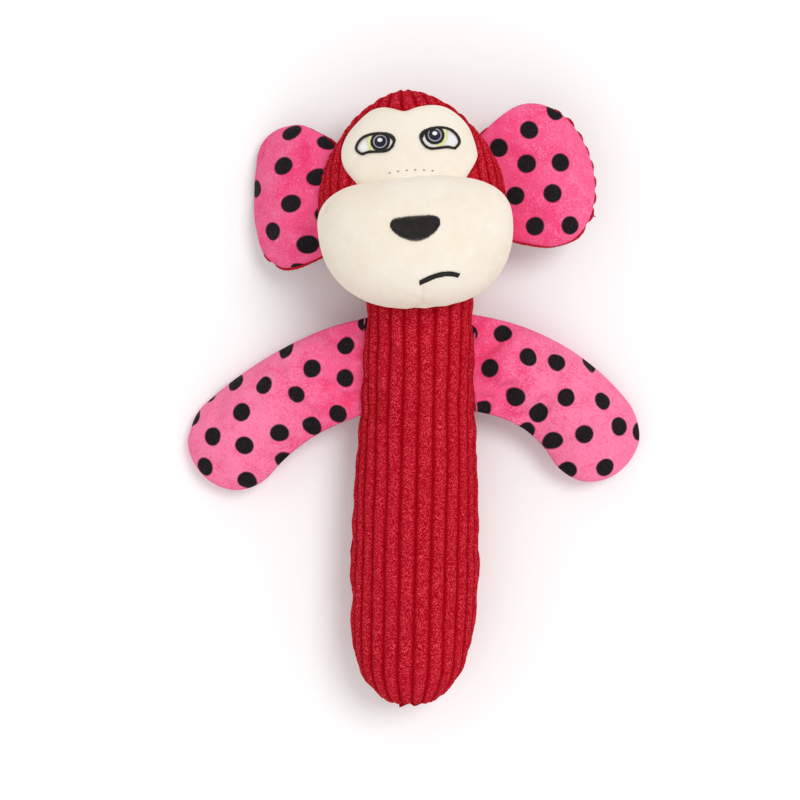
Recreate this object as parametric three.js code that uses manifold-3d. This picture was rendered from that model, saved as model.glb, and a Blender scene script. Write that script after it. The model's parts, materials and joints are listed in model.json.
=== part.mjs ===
// A squeaky dog toy: a stuffed monkey with a club-shaped corduroy body, lying on its back.
// Millimetres. +X is the viewer's right, +Y runs from the body to the head, +Z comes up out
// of the face. The origin is on the flattened back, under the squeaker. Left and right are
// as seen from the front.
import * as THREE from 'three';
import { mergeVertices } from 'three/addons/utils/BufferGeometryUtils.js';
import Module from 'manifold-3d';

const wasm = await Module();
wasm.setup();
const { Manifold, Mesh } = wasm;

// Cloth, thread and fits
const corduroyThickness = 2.2;
const minkyThickness = 1.6;
const threadDiameter = 0.8;
const fitGap = 0.3;
const restDepth = 0.5;

// Torso
const torsoWidth = 55.2;
const torsoThickness = 46;
const torsoBelowBelly = 63.5;
const torsoAboveBelly = 105.5;
const bellyBelowSqueaker = 20;
const neckDiameter = 44;
const neckFlare = 0.6;
const neckPlay = 2.2;
const gatherRingAngle = 30;
const neckRingAngle = 52;

// Head
const headWidth = 78.6;
const headThickness = 62;
const headTopAboveNeck = 90.3;
const headWidestAboveNeck = 42;
const headBottomAboveNeck = 2;
const headTilt = 5.3;

// Muzzle
const muzzleWidth = 77.8;
const muzzleHeight = 53.8;
const muzzleCentreAboveNeck = 24.8;
const muzzleCentreAboveSeam = 25;
const muzzleFrontDepth = 28;
const muzzleBackDepth = 20;
const muzzleTopSquareness = 2.7;
const muzzleChinSquareness = 2;
const muzzleDepthSquareness = 2.2;
// Share of half the height from the muzzle's middle up to where it is widest
const muzzleWidestShare = 0.3;

// Face
const patchWidth = 56.2;
const patchHeight = 43.2;
const patchBottomAboveNeck = 39;
const noseWidth = 19.8;
const noseHeight = 10.4;
const noseAboveNeck = 28.7;
const noseThickness = 1.2;
const mouthWidth = 16;
const mouthRise = 3;
const mouthOffset = 0.7;
const mouthAboveNeck = 7.3;
const mouthStroke = 1.7;
const eyeWidth = 15.8;
const eyeHeight = 9;
const eyeSpacing = 26.4;
const eyeAboveNeck = 66.2;
const eyeStroke = 1.3;
const irisDiameter = 8;
const irisInset = 2.1;
const irisLift = 1;
const embroideryThickness = 0.6;

// Ears
const earReach = 38;
const earHeight = 61;
const earThickness = 10;
const earRootThickness = 2;
const earBulgeReach = 16;
const earAboveNeck = 49;
const earSeamLength = 38;
// How far each ear sits below its seam, how much it narrows to its root, and how square it is above
const earPose = {
  left: { droop: 43, turn: 10, drop: 0.5, rootTaper: 0.57, upperCorner: 3 },
  right: { droop: 10, turn: 1, drop: 1.6, rootTaper: 0.82, upperCorner: 2 },
};

// Shares of a limb's length where it has swollen to its full depth, and where its tip starts
const limbSwellShare = 0.45;
const limbTipShare = 0.58;

// Arms
const armRootWidth = 41;
const armWaistWidth = 39.4;
const handDiameter = 42;
const armThickness = 18;
const armRootThickness = 2.2;
const armBelowNeck = 24.8;
const armSeamLength = 39;
const armPose = {
  left: { elbowReach: 30.4, elbowDrop: 10.2, handReach: 52.8, handDrop: 35.6 },
  right: { elbowReach: 32.4, elbowDrop: 3.2, handReach: 50.4, handDrop: 29 },
};

// Squeaker
const squeakerDiameter = 36;
const squeakerHeight = 26;
const squeakerWall = 1.2;
const squeakerRim = 4;
const bellowsFolds = 3;
const bellowsFoldDepth = 4;
const pocketPlay = 0.6;
const barrelDiameter = 8;
const barrelBore = 5.4;
const barrelLength = 9;
const barrelFlangeDiameter = 11;
const shallotFlatOffset = 0.45;
const shallotRecess = 1;
const reedLength = 6;
const reedWidth = 2.6;
const reedThickness = 0.4;
const reedClearance = 0.5;

// Closing stitch on the left side seam
const closingStitchBelowSqueaker = 40;
const closingStitchLength = 24;
const closingStitchSpread = 3;
const closingStitches = 8;

// Sizes that follow from the ones above
const torsoSeam = torsoThickness / 2 - restDepth;
const headSeam = headThickness / 2 - restDepth;
const bellyY = -bellyBelowSqueaker;
const torsoEndY = bellyY - torsoBelowBelly;
const neckY = bellyY + torsoAboveBelly;
const neckRadius = neckDiameter / 2;
const threadRadius = threadDiameter / 2;
const rootPlay = threadDiameter + 2 * fitGap;
const squeakerBaseZ = torsoSeam - squeakerHeight / 2;
const squeakerTopZ = squeakerBaseZ + squeakerHeight;
const barrelBottomZ = squeakerBaseZ - squeakerWall - fitGap;
const headCentreZ = headSeam - torsoSeam;
const degree = Math.PI / 180;

// The search for how far an arm hangs, in degrees
const droopFrom = -20;
const droopTo = 60;
const droopHalvings = 30;

// Facet counts, and lengths that only reach past what they cut
const torsoRows = 5;
const torsoSides = 20;
const headRows = 6;
const headSides = 20;
const muzzleRows = 9;
const muzzleSides = 22;
const limbRows = 8;
const limbSides = 14;
const liningRows = 4;
const liningSides = 14;
const drumSides = 20;
const barrelSides = 14;
const socketSides = 22;
const socketRows = 14;
const threadSides = 5;
const threadLoopSteps = 28;
const seamSteps = 6;
const mouthSteps = 8;
const rootOverrun = 6;
const far = 400;

const finishes = {
  corduroy: { color: 0xb41a27, roughness: 0.95 },
  minky: { color: 0xf5759f, roughness: 0.9 },
  cream: { color: 0xf8eede, roughness: 0.9 },
  black: { color: 0x2a2426, roughness: 0.7 },
  white: { color: 0xf4f2fa, roughness: 0.7 },
  stuffing: { color: 0xf3f1ec, roughness: 1 },
  redThread: { color: 0x7e1220, roughness: 0.7 },
  pinkThread: { color: 0xd94f83, roughness: 0.7 },
  plastic: { color: 0xf0f0ea, roughness: 0.45 },
  vinyl: { color: 0xe6e3d8, roughness: 0.35 },
  reed: { color: 0xc9a24a, roughness: 0.3 },
};

// Turning shapes into solids and back

function signedVolume(positions, triangles) {
  const a = new THREE.Vector3();
  const b = new THREE.Vector3();
  const c = new THREE.Vector3();
  let volume = 0;
  for (let i = 0; i < triangles.length; i += 3) {
    a.fromArray(positions, 3 * triangles[i]);
    b.fromArray(positions, 3 * triangles[i + 1]);
    c.fromArray(positions, 3 * triangles[i + 2]);
    volume += a.dot(b.cross(c)) / 6;
  }
  return volume;
}

// One closed skin with shared corners, facing out
function closedSkin(geometry) {
  const bare = new THREE.BufferGeometry();
  bare.setAttribute('position', geometry.getAttribute('position').clone());
  if (geometry.index) {
    bare.setIndex(geometry.index.clone());
  }
  const merged = mergeVertices(bare, 1e-4);
  const positions = merged.getAttribute('position').array;
  const triangles = [];
  for (let i = 0; i < merged.index.count; i += 3) {
    const [a, b, c] = merged.index.array.slice(i, i + 3);
    if (a !== b && b !== c && c !== a) {
      triangles.push(a, b, c);
    }
  }
  if (signedVolume(positions, triangles) < 0) {
    triangles.reverse();
  }
  merged.setIndex(triangles);
  return merged;
}

function solid(geometry) {
  const closed = closedSkin(geometry);
  return new Manifold(new Mesh({
    numProp: 3,
    vertProperties: Float32Array.from(closed.getAttribute('position').array),
    triVerts: Uint32Array.from(closed.index.array),
  }));
}

function geometryOf(body) {
  const mesh = body.getMesh();
  const positions = new Float32Array(3 * mesh.numVert);
  for (let i = 0; i < mesh.numVert; i += 1) {
    for (let k = 0; k < 3; k += 1) {
      positions[3 * i + k] = mesh.vertProperties[mesh.numProp * i + k];
    }
  }
  const geometry = new THREE.BufferGeometry();
  geometry.setAttribute('position', new THREE.BufferAttribute(positions, 3));
  geometry.setIndex([...mesh.triVerts]);
  return geometry;
}

function addPiece(group, name, body, finish) {
  const flat = geometryOf(body).toNonIndexed();
  flat.computeVertexNormals();
  const piece = new THREE.Mesh(flat, new THREE.MeshStandardMaterial(finish));
  piece.name = name;
  group.add(piece);
}

function slab(fromZ, toZ) {
  const box = new THREE.BoxGeometry(far, 2 * far, toZ - fromZ);
  return solid(box.translate(0, 0, (fromZ + toZ) / 2));
}

function prism(shape, fromZ, toZ, curveSegments = 8) {
  const block = new THREE.ExtrudeGeometry(shape, { depth: toZ - fromZ, bevelEnabled: false, curveSegments });
  return solid(block.translate(0, 0, fromZ));
}

function thread(points, radius, steps) {
  const round = new THREE.Shape();
  round.absarc(0, 0, radius, 0, 2 * Math.PI);
  const path = new THREE.CatmullRomCurve3(points);
  const options = { extrudePath: path, steps, bevelEnabled: false, curveSegments: 3 };
  return solid(new THREE.ExtrudeGeometry(round, options));
}

// A form moved out along its normals, or in by a negative amount
function grown(geometry, amount) {
  const closed = closedSkin(geometry);
  closed.computeVertexNormals();
  const place = closed.getAttribute('position');
  const out = closed.getAttribute('normal');
  const moved = new THREE.Vector3();
  const normal = new THREE.Vector3();
  for (let i = 0; i < place.count; i += 1) {
    normal.fromBufferAttribute(out, i);
    moved.fromBufferAttribute(place, i).addScaledVector(normal, amount);
    place.setXYZ(i, moved.x, moved.y, moved.z);
  }
  return closed;
}

function grownShape(points, amount) {
  const box = new THREE.Box2().setFromPoints(points);
  const size = box.getSize(new THREE.Vector2());
  const centre = box.getCenter(new THREE.Vector2());
  const factor = new THREE.Vector2(1 + 2 * amount / size.x, 1 + 2 * amount / size.y);
  return new THREE.Shape(points.map((p) => p.clone().sub(centre).multiply(factor).add(centre)));
}

// A skin over rings of points; a ring of one point closes an end
function skin(rings) {
  const positions = [];
  const starts = [];
  for (const ring of rings) {
    starts.push(positions.length / 3);
    ring.forEach((p) => positions.push(p.x, p.y, p.z));
  }
  const triangles = [];
  for (let i = 0; i + 1 < rings.length; i += 1) {
    const count = Math.max(rings[i].length, rings[i + 1].length);
    for (let j = 0; j < count; j += 1) {
      const next = (j + 1) % count;
      const a = starts[i] + (rings[i].length > 1 ? j : 0);
      const b = starts[i] + (rings[i].length > 1 ? next : 0);
      const c = starts[i + 1] + (rings[i + 1].length > 1 ? next : 0);
      const d = starts[i + 1] + (rings[i + 1].length > 1 ? j : 0);
      if (a !== b) {
        triangles.push(a, b, c);
      }
      if (c !== d) {
        triangles.push(a, c, d);
      }
    }
  }
  const geometry = new THREE.BufferGeometry();
  geometry.setAttribute('position', new THREE.Float32BufferAttribute(positions, 3));
  geometry.setIndex(triangles);
  return geometry;
}

// An oval ring across a limb or a pod, flat in z where the depths are small
function ovalRing(centre, across, halfWidth, front, back, count) {
  const ring = [];
  for (let j = 0; j < count; j += 1) {
    const angle = 2 * Math.PI * j / count;
    const place = centre.clone().addScaledVector(across, halfWidth * Math.cos(angle));
    const depth = Math.sin(angle) > 0 ? front : back;
    ring.push(new THREE.Vector3(place.x, place.y, depth * Math.sin(angle)));
  }
  return ring;
}

// Torso

// The plain factors in the two profiles are shares along the curves' handles
function torsoProfile(rows) {
  const half = torsoWidth / 2;
  const profile = new THREE.Path();
  profile.moveTo(0, torsoEndY);
  profile.bezierCurveTo(0.62 * half, torsoEndY, half, torsoEndY + 0.29 * torsoBelowBelly, half, bellyY);
  profile.bezierCurveTo(half, bellyY + 0.17 * torsoAboveBelly, neckRadius + neckFlare,
    bellyY + 0.62 * torsoAboveBelly, neckRadius, neckY);
  profile.absarc(0, neckY, neckRadius, 0, Math.PI / 2, false);
  const points = profile.getPoints(rows);
  points[points.length - 1].x = 0;
  return points;
}

// The club is round where it is slim and lies flatter where it is wide
function torsoForm(rows, around) {
  const form = new THREE.LatheGeometry(torsoProfile(rows), around);
  const place = form.getAttribute('position');
  for (let i = 0; i < place.count; i += 1) {
    const radius = Math.hypot(place.getX(i), place.getZ(i));
    const flat = radius > 0 ? Math.min(1, torsoThickness / 2 / radius) : 1;
    place.setZ(i, place.getZ(i) * flat);
  }
  return form.translate(0, 0, torsoSeam);
}

// Half the width that a profile has at one height
function halfWidthIn(profile, y) {
  const above = profile.findIndex((p) => p.y >= y);
  const low = profile[above - 1];
  return THREE.MathUtils.mapLinear(y, low.y, profile[above].y, low.x, profile[above].x);
}

function cylinderZ(radius, fromZ, toZ, sides) {
  const drum = new THREE.CylinderGeometry(radius, radius, toZ - fromZ, sides).rotateX(Math.PI / 2);
  return solid(drum.translate(0, 0, (fromZ + toZ) / 2));
}

function squeakerPocket() {
  const bed = cylinderZ(squeakerDiameter / 2 + pocketPlay, squeakerBaseZ - fitGap, far, drumSides);
  const flangeRadius = barrelFlangeDiameter / 2 + pocketPlay;
  return bed.add(cylinderZ(flangeRadius, barrelBottomZ - fitGap, far, barrelSides));
}

function closingStitch() {
  const points = [];
  for (let i = 0; i <= closingStitches; i += 1) {
    const y = -closingStitchBelowSqueaker + closingStitchLength * (i / closingStitches - 0.5);
    const lift = (i % 2 === 0 ? 0.5 : -0.5) * closingStitchSpread;
    const x = -halfWidthIn(torsoProfile(torsoRows), y) - fitGap - threadRadius;
    points.push(new THREE.Vector3(x, y, torsoSeam + lift));
  }
  return thread(points, threadRadius, 4 * closingStitches);
}

function buildTorso(group) {
  const outer = solid(torsoForm(torsoRows, torsoSides));
  const inner = solid(grown(torsoForm(liningRows, liningSides), -corduroyThickness));
  const cover = outer.subtract(inner);
  addPiece(group, 'torso_front_panel', cover.intersect(slab(torsoSeam + fitGap / 2, far)), finishes.corduroy);
  addPiece(group, 'torso_back_panel', cover.intersect(slab(0, torsoSeam - fitGap / 2)), finishes.corduroy);
  const filling = solid(grown(torsoForm(liningRows, liningSides), -corduroyThickness - fitGap));
  const pocket = squeakerPocket();
  addPiece(group, 'torso_stuffing', filling.subtract(pocket), finishes.stuffing);
  const plug = cylinderZ(squeakerDiameter / 2 - fitGap, squeakerTopZ + fitGap, far, drumSides);
  addPiece(group, 'squeaker_pad', filling.intersect(plug), finishes.stuffing);
  addPiece(group, 'closing_stitch', closingStitch(), finishes.redThread);
}

// Squeaker: a bellows on a reed barrel, standing along Z

function latheZ(points, sides) {
  const profile = points.map(([x, y]) => new THREE.Vector2(x, y));
  return solid(new THREE.LatheGeometry(profile, sides).rotateX(Math.PI / 2));
}

function squeakerBase() {
  const outside = squeakerDiameter / 2;
  const hole = barrelDiameter / 2 + fitGap;
  const floor = squeakerBaseZ + squeakerWall;
  const rim = squeakerBaseZ + squeakerRim;
  return latheZ([
    [hole, squeakerBaseZ], [outside, squeakerBaseZ], [outside, rim],
    [outside - squeakerWall, rim], [outside - squeakerWall, floor], [hole, floor], [hole, squeakerBaseZ],
  ], drumSides);
}

function squeakerCap() {
  const outside = squeakerDiameter / 2;
  const ceiling = squeakerTopZ - squeakerWall;
  const rim = squeakerTopZ - squeakerRim;
  return latheZ([
    [0, ceiling], [outside - squeakerWall, ceiling], [outside - squeakerWall, rim],
    [outside, rim], [outside, squeakerTopZ], [0, squeakerTopZ],
  ], drumSides);
}

function squeakerBellows() {
  const outside = squeakerDiameter / 2;
  const low = squeakerBaseZ + squeakerRim + fitGap;
  const high = squeakerTopZ - squeakerRim - fitGap;
  const pleats = 2 * bellowsFolds;
  const outerWall = [];
  for (let i = 0; i <= pleats; i += 1) {
    const radius = i % 2 === 0 ? outside : outside - bellowsFoldDepth;
    outerWall.push([radius, low + (high - low) * i / pleats]);
  }
  const innerWall = outerWall.map(([x, y]) => [x - squeakerWall, y]).reverse();
  return latheZ([...outerWall, ...innerWall, outerWall[0]], drumSides);
}

function reedBarrel() {
  const step = squeakerBaseZ - fitGap;
  const top = barrelBottomZ + barrelLength;
  const bore = barrelBore / 2;
  const outside = barrelDiameter / 2;
  const flange = barrelFlangeDiameter / 2;
  return latheZ([
    [bore, barrelBottomZ], [flange, barrelBottomZ], [flange, step], [outside, step],
    [outside, top], [bore, top], [bore, barrelBottomZ],
  ], barrelSides);
}

// A half-round plug in the bore; the reed beats against its flat
function reedShallot() {
  const radius = barrelBore / 2 * Math.cos(Math.PI / barrelSides) - fitGap;
  const start = Math.asin(shallotFlatOffset / radius);
  const half = new THREE.Shape().absarc(0, 0, radius, start, Math.PI - start);
  return prism(half, barrelBottomZ, barrelBottomZ + barrelLength - shallotRecess, 5);
}

function reedStrip() {
  const strip = new THREE.BoxGeometry(reedWidth, reedThickness, reedLength);
  const y = shallotFlatOffset - reedClearance - reedThickness / 2;
  const top = barrelBottomZ + barrelLength - shallotRecess - reedThickness;
  return solid(strip.translate(0, y, top - reedLength / 2));
}

function buildSqueaker(group) {
  addPiece(group, 'squeaker_base', squeakerBase(), finishes.plastic);
  addPiece(group, 'squeaker_bellows', squeakerBellows(), finishes.vinyl);
  addPiece(group, 'squeaker_cap', squeakerCap(), finishes.plastic);
  addPiece(group, 'reed_barrel', reedBarrel(), finishes.plastic);
  addPiece(group, 'reed_shallot', reedShallot(), finishes.plastic);
  addPiece(group, 'reed', reedStrip(), finishes.reed);
}

// Neck: two rounds of thread in the play between the torso's dome and the head's socket

function neckThread(polarAngle) {
  const track = neckRadius + neckPlay / 2;
  const loop = track * Math.sin(polarAngle * degree);
  const ring = new THREE.TorusGeometry(loop, threadRadius, threadSides, threadLoopSteps).rotateX(Math.PI / 2);
  return solid(ring.translate(0, neckY + track * Math.cos(polarAngle * degree), torsoSeam));
}

function buildNeck(group) {
  addPiece(group, 'neck_gather_thread', neckThread(gatherRingAngle), finishes.redThread);
  addPiece(group, 'neck_seam_thread', neckThread(neckRingAngle), finishes.redThread);
}

// Head, drawn about the neck joint and untilted

function headProfile(rows) {
  const half = headWidth / 2;
  const rise = headTopAboveNeck - headWidestAboveNeck;
  const fall = headWidestAboveNeck - headBottomAboveNeck;
  const profile = new THREE.Path();
  profile.moveTo(0, headBottomAboveNeck);
  profile.bezierCurveTo(0.92 * half, headBottomAboveNeck, half, headWidestAboveNeck - 0.55 * fall,
    half, headWidestAboveNeck);
  profile.bezierCurveTo(half, headWidestAboveNeck + 0.5 * rise, 0.36 * half, headTopAboveNeck,
    0, headTopAboveNeck);
  return profile.getPoints(rows);
}

function headForm(rows, around) {
  const form = new THREE.LatheGeometry(headProfile(rows), around);
  return form.scale(1, 1, headThickness / headWidth).translate(0, 0, headCentreZ);
}

function neckSocket(extra) {
  return solid(new THREE.SphereGeometry(neckRadius + neckPlay + extra, socketSides, socketRows));
}

function patchOutline() {
  const half = patchWidth / 2;
  const top = patchBottomAboveNeck + patchHeight;
  const side = [
    [0, 0], [0.55, 0.05], [0.82, 0.28], [0.97, 0.44], [1, 0.55], [0.96, 0.69],
    [0.82, 0.81], [0.66, 0.91], [0.51, 0.98], [0.35, 1], [0.16, 0.965], [0, 0.94],
  ].map(([x, y]) => new THREE.Vector2(x * half, THREE.MathUtils.lerp(patchBottomAboveNeck, top, y)));
  const otherSide = side.slice(1, -1).reverse().map((p) => new THREE.Vector2(-p.x, p.y));
  return [...side, ...otherSide];
}

// Half the width of a squared-off oval, from 1 at its middle to 0 at its ends
function superOval(t, squareness) {
  return Math.pow(1 - Math.min(1, Math.pow(Math.abs(t), squareness)), 1 / squareness);
}

function muzzleForm(rows, around) {
  const rings = [];
  for (let i = 0; i <= rows; i += 1) {
    const t = -Math.cos(Math.PI * i / rows);
    const centre = new THREE.Vector2(0, muzzleCentreAboveNeck + t * muzzleHeight / 2);
    const aboveWidest = t - muzzleWidestShare;
    const fullness = aboveWidest > 0
      ? superOval(aboveWidest / (1 - muzzleWidestShare), muzzleTopSquareness)
      : superOval(aboveWidest / (1 + muzzleWidestShare), muzzleChinSquareness);
    const depth = superOval(t, muzzleDepthSquareness);
    if (i === 0 || i === rows) {
      rings.push([new THREE.Vector3(centre.x, centre.y, 0)]);
    } else {
      rings.push(ovalRing(centre, new THREE.Vector2(1, 0), fullness * muzzleWidth / 2,
        depth * muzzleFrontDepth, depth * muzzleBackDepth, around));
    }
  }
  return skin(rings).translate(0, 0, headCentreZ + muzzleCentreAboveSeam);
}

function buildHead(group) {
  const outer = solid(headForm(headRows, headSides));
  const inner = solid(grown(headForm(liningRows, liningSides), -corduroyThickness));
  const shell = outer.subtract(inner).subtract(neckSocket(0));
  const front = shell.intersect(slab(headCentreZ + fitGap / 2, far));
  const patch = prism(grownShape(patchOutline(), -fitGap / 2), headCentreZ + fitGap, far);
  const opening = prism(grownShape(patchOutline(), fitGap / 2), headCentreZ, far);
  addPiece(group, 'head_front_panel', front.subtract(opening), finishes.corduroy);
  const back = shell.intersect(slab(-torsoSeam, headCentreZ - fitGap / 2));
  addPiece(group, 'head_back_panel', back, finishes.corduroy);
  addPiece(group, 'face_patch', front.intersect(patch), finishes.cream);
  const filling = solid(grown(headForm(liningRows, liningSides), -corduroyThickness - fitGap));
  addPiece(group, 'head_stuffing', filling.subtract(neckSocket(fitGap)), finishes.stuffing);
  const backing = solid(grown(headForm(headRows, headSides), fitGap));
  const dome = solid(grown(torsoForm(torsoRows, torsoSides), neckPlay).translate(0, -neckY, -torsoSeam));
  const pod = solid(muzzleForm(muzzleRows, muzzleSides)).subtract(backing).subtract(dome);
  const hollow = solid(grown(muzzleForm(liningRows + 2, liningSides), -minkyThickness));
  addPiece(group, 'muzzle_cover', pod.subtract(hollow), finishes.cream);
  const wadding = solid(grown(muzzleForm(liningRows + 2, liningSides), -minkyThickness - fitGap));
  addPiece(group, 'muzzle_stuffing', wadding.subtract(backing).subtract(dome), finishes.stuffing);
}

// Face

function outlineAt(points, width, height, centreX, centreY, mirror) {
  const curve = new THREE.CatmullRomCurve3(points.map(([x, y]) => new THREE.Vector3(x, y, 0)), true);
  const smooth = curve.getPoints(2 * points.length).slice(0, -1);
  return smooth.map((p) => new THREE.Vector2(centreX + mirror * p.x * width / 2, centreY + p.y * height / 2));
}

function noseOutline() {
  const points = [
    [-0.98, 0.55], [-0.55, 1], [0.1, 0.98], [0.85, 0.75], [1, 0.2], [0.5, -0.75], [0, -1], [-0.75, -0.4],
  ];
  return outlineAt(points, noseWidth, noseHeight, 0, noseAboveNeck, 1);
}

function eyeOutline(mirror) {
  const points = [
    [0.75, -0.95], [0.97, -0.48], [0.96, -0.05], [0.8, 0.45], [0.31, 0.91], [-0.43, 0.87],
    [-0.8, 0.63], [-0.97, 0.2], [-0.9, -0.3], [-0.5, -0.9], [0.33, -0.82],
  ];
  return outlineAt(points, eyeWidth, eyeHeight, mirror * eyeSpacing / 2, eyeAboveNeck, mirror);
}

function buildEye(group, name, mirror, lowerLayer, upperLayer) {
  const outline = eyeOutline(mirror);
  const zFrom = headCentreZ + fitGap;
  const outside = prism(grownShape(outline, eyeStroke / 2), zFrom, far);
  const inside = prism(grownShape(outline, -eyeStroke / 2), zFrom - fitGap, far);
  const field = prism(grownShape(outline, -eyeStroke / 2 - fitGap), zFrom, far);
  const irisX = mirror * (eyeSpacing / 2 - irisInset);
  const round = new THREE.Shape().absarc(irisX, eyeAboveNeck + irisLift, irisDiameter / 2, 0, 2 * Math.PI);
  const iris = upperLayer.intersect(field).intersect(prism(round, zFrom, far));
  addPiece(group, `${name}_eye_outline`, lowerLayer.intersect(outside).subtract(inside), finishes.black);
  addPiece(group, `${name}_eye_white`, lowerLayer.intersect(field), finishes.white);
  addPiece(group, `${name}_eye_iris`, iris, finishes.black);
}

// A thin layer of embroidery, a gap above a form
function stitchLayer(form, gap, thickness) {
  return solid(grown(form(), gap + thickness)).subtract(solid(grown(form(), gap)));
}

function mouthOutline() {
  const line = new THREE.CatmullRomCurve3([
    [0, 0], [0.11, 0.4], [0.31, 0.85], [0.51, 1], [0.66, 1], [0.81, 0.9], [1, 0.53],
  ].map(([x, y]) => new THREE.Vector3(mouthOffset + x * mouthWidth, mouthAboveNeck + y * mouthRise, 0)));
  const upper = [];
  const lower = [];
  for (let i = 0; i <= mouthSteps; i += 1) {
    const at = line.getPoint(i / mouthSteps);
    const along = line.getTangent(i / mouthSteps);
    upper.push(new THREE.Vector2(at.x - along.y * mouthStroke / 2, at.y + along.x * mouthStroke / 2));
    lower.push(new THREE.Vector2(at.x + along.y * mouthStroke / 2, at.y - along.x * mouthStroke / 2));
  }
  return [...upper, ...lower.reverse()];
}

function buildFace(group) {
  const head = () => headForm(headRows, headSides);
  const muzzle = () => muzzleForm(muzzleRows, muzzleSides);
  const lowerLayer = stitchLayer(head, fitGap, embroideryThickness);
  const upperLayer = stitchLayer(head, 2 * fitGap + embroideryThickness, embroideryThickness);
  buildEye(group, 'left', -1, lowerLayer, upperLayer);
  buildEye(group, 'right', 1, lowerLayer, upperLayer);
  const zFrom = headCentreZ + muzzleCentreAboveSeam;
  const noseLayer = stitchLayer(muzzle, fitGap, noseThickness);
  const nose = noseLayer.intersect(prism(new THREE.Shape(noseOutline()), zFrom, far));
  addPiece(group, 'nose', nose, finishes.black);
  const mouthLayer = stitchLayer(muzzle, fitGap, embroideryThickness);
  const mouth = mouthLayer.intersect(prism(new THREE.Shape(mouthOutline()), zFrom, far));
  addPiece(group, 'mouth_stitch', mouth, finishes.black);
}

// A flat limb of two cloth panels: rows from its root inside the seam out to its tip

function swell(distance, length, root, full) {
  const t = THREE.MathUtils.smoothstep(distance, 0, limbSwellShare * length);
  return THREE.MathUtils.lerp(root, full, t);
}

function tipRound(distance, from, to) {
  const t = THREE.MathUtils.clamp((distance - from) / (to - from), 0, 1);
  return Math.sqrt(Math.max(0, 1 - t * t));
}

function rowSteps(from, to) {
  const steps = [];
  for (let i = 0; i <= limbRows; i += 1) {
    steps.push(from + (to - from) * Math.sin(Math.PI / 2 * i / limbRows));
  }
  return steps;
}

function limbSkin(rows, mirror) {
  const rings = rows.map(({ centre, across, halfWidth, depth }) => (
    ovalRing(centre, across, halfWidth, depth, depth, limbSides)
  ));
  const [root, tip] = [rows[0], rows[rows.length - 1]].map(({ centre }) => (
    [new THREE.Vector3(centre.x, centre.y, 0)]
  ));
  return skin([root, ...rings.slice(0, -1), tip]).scale(mirror, 1, 1);
}

function earForm(side, inset) {
  const mirror = side === 'left' ? -1 : 1;
  const pose = earPose[side];
  const reach = earReach - inset;
  const bulge = earReach - earBulgeReach;
  const half = earHeight / 2 - inset;
  const thinning = 1 - 2 * inset / earThickness;
  const sections = rowSteps(-rootOverrun, reach).map((u) => {
    const nearRoot = u < earBulgeReach;
    const t = (u - earBulgeReach) / (bulge - inset) * (nearRoot ? pose.rootTaper : 1);
    const upper = half * superOval(t, nearRoot ? 2 : pose.upperCorner);
    const lower = half * superOval(t, 2);
    const depth = swell(u, earReach, earRootThickness / 2, earThickness / 2);
    return {
      centre: new THREE.Vector2(u, (upper - lower) / 2 - pose.drop),
      across: new THREE.Vector2(0, 1),
      halfWidth: (upper + lower) / 2,
      depth: thinning * depth * tipRound(u, limbTipShare * earReach, reach),
    };
  });
  return limbSkin(sections, mirror).rotateZ(-mirror * pose.turn * degree);
}

function armForm(side, inset) {
  const mirror = side === 'left' ? -1 : 1;
  const pose = armPose[side];
  const hand = new THREE.Vector2(pose.handReach, -pose.handDrop);
  const elbow = new THREE.Vector2(pose.elbowReach, -pose.elbowDrop);
  const spine = new THREE.QuadraticBezierCurve(new THREE.Vector2(0, 0), elbow, hand);
  const spineLength = spine.getLength();
  const heading = spine.getTangent(1);
  const handRadius = handDiameter / 2 - inset;
  const reach = spineLength + handRadius;
  const thinning = 1 - 2 * inset / armThickness;
  const sections = rowSteps(-rootOverrun, reach).map((u) => {
    const t = THREE.MathUtils.clamp(u / spineLength, 0, 1);
    const along = spine.getTangentAt(t);
    const beyond = Math.max(0, u - spineLength);
    const centre = spine.getPointAt(t).addScaledVector(heading, beyond);
    const waist = 4 * t * (1 - t) * (armWaistWidth - (armRootWidth + handDiameter) / 2) / 2;
    const half = THREE.MathUtils.lerp(armRootWidth, handDiameter, t) / 2 + waist - inset;
    const depth = swell(u, spineLength + handDiameter / 2, armRootThickness / 2, armThickness / 2);
    return {
      centre: centre.add(new THREE.Vector2(Math.min(0, u), 0)),
      across: new THREE.Vector2(-along.y, along.x),
      halfWidth: half * tipRound(beyond, 0, handRadius),
      depth: thinning * depth * tipRound(u, limbTipShare * reach, reach),
    };
  });
  return limbSkin(sections, mirror);
}

// The side seam that a limb hangs from: its line of thread, and the straight hinge just clear of it
function sideSeam(profile, middleY, length, mirror) {
  const line = [];
  for (let i = 0; i <= seamSteps; i += 1) {
    const y = middleY + length * (i / seamSteps - 0.5);
    line.push(new THREE.Vector2(halfWidthIn(profile, y) + fitGap + threadRadius, y));
  }
  const chord = line[seamSteps].clone().sub(line[0]);
  const bulges = line.map((p) => p.x - line[0].x - chord.x * (p.y - line[0].y) / length);
  const middleX = (line[0].x + line[seamSteps].x) / 2 + Math.max(...bulges);
  return {
    points: line.map((p) => new THREE.Vector3(mirror * p.x, p.y, 0)),
    middle: new THREE.Vector2(mirror * middleX, middleY),
    slope: -mirror * Math.atan2(chord.x, length),
  };
}

function hingeGroup(name, seam, seamZ, droop, mirror) {
  const hinge = new THREE.Group();
  hinge.name = name;
  hinge.position.set(seam.middle.x, seam.middle.y, seamZ);
  hinge.rotation.set(0, mirror * droop, seam.slope, 'ZYX');
  hinge.updateMatrix();
  return hinge;
}

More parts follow.
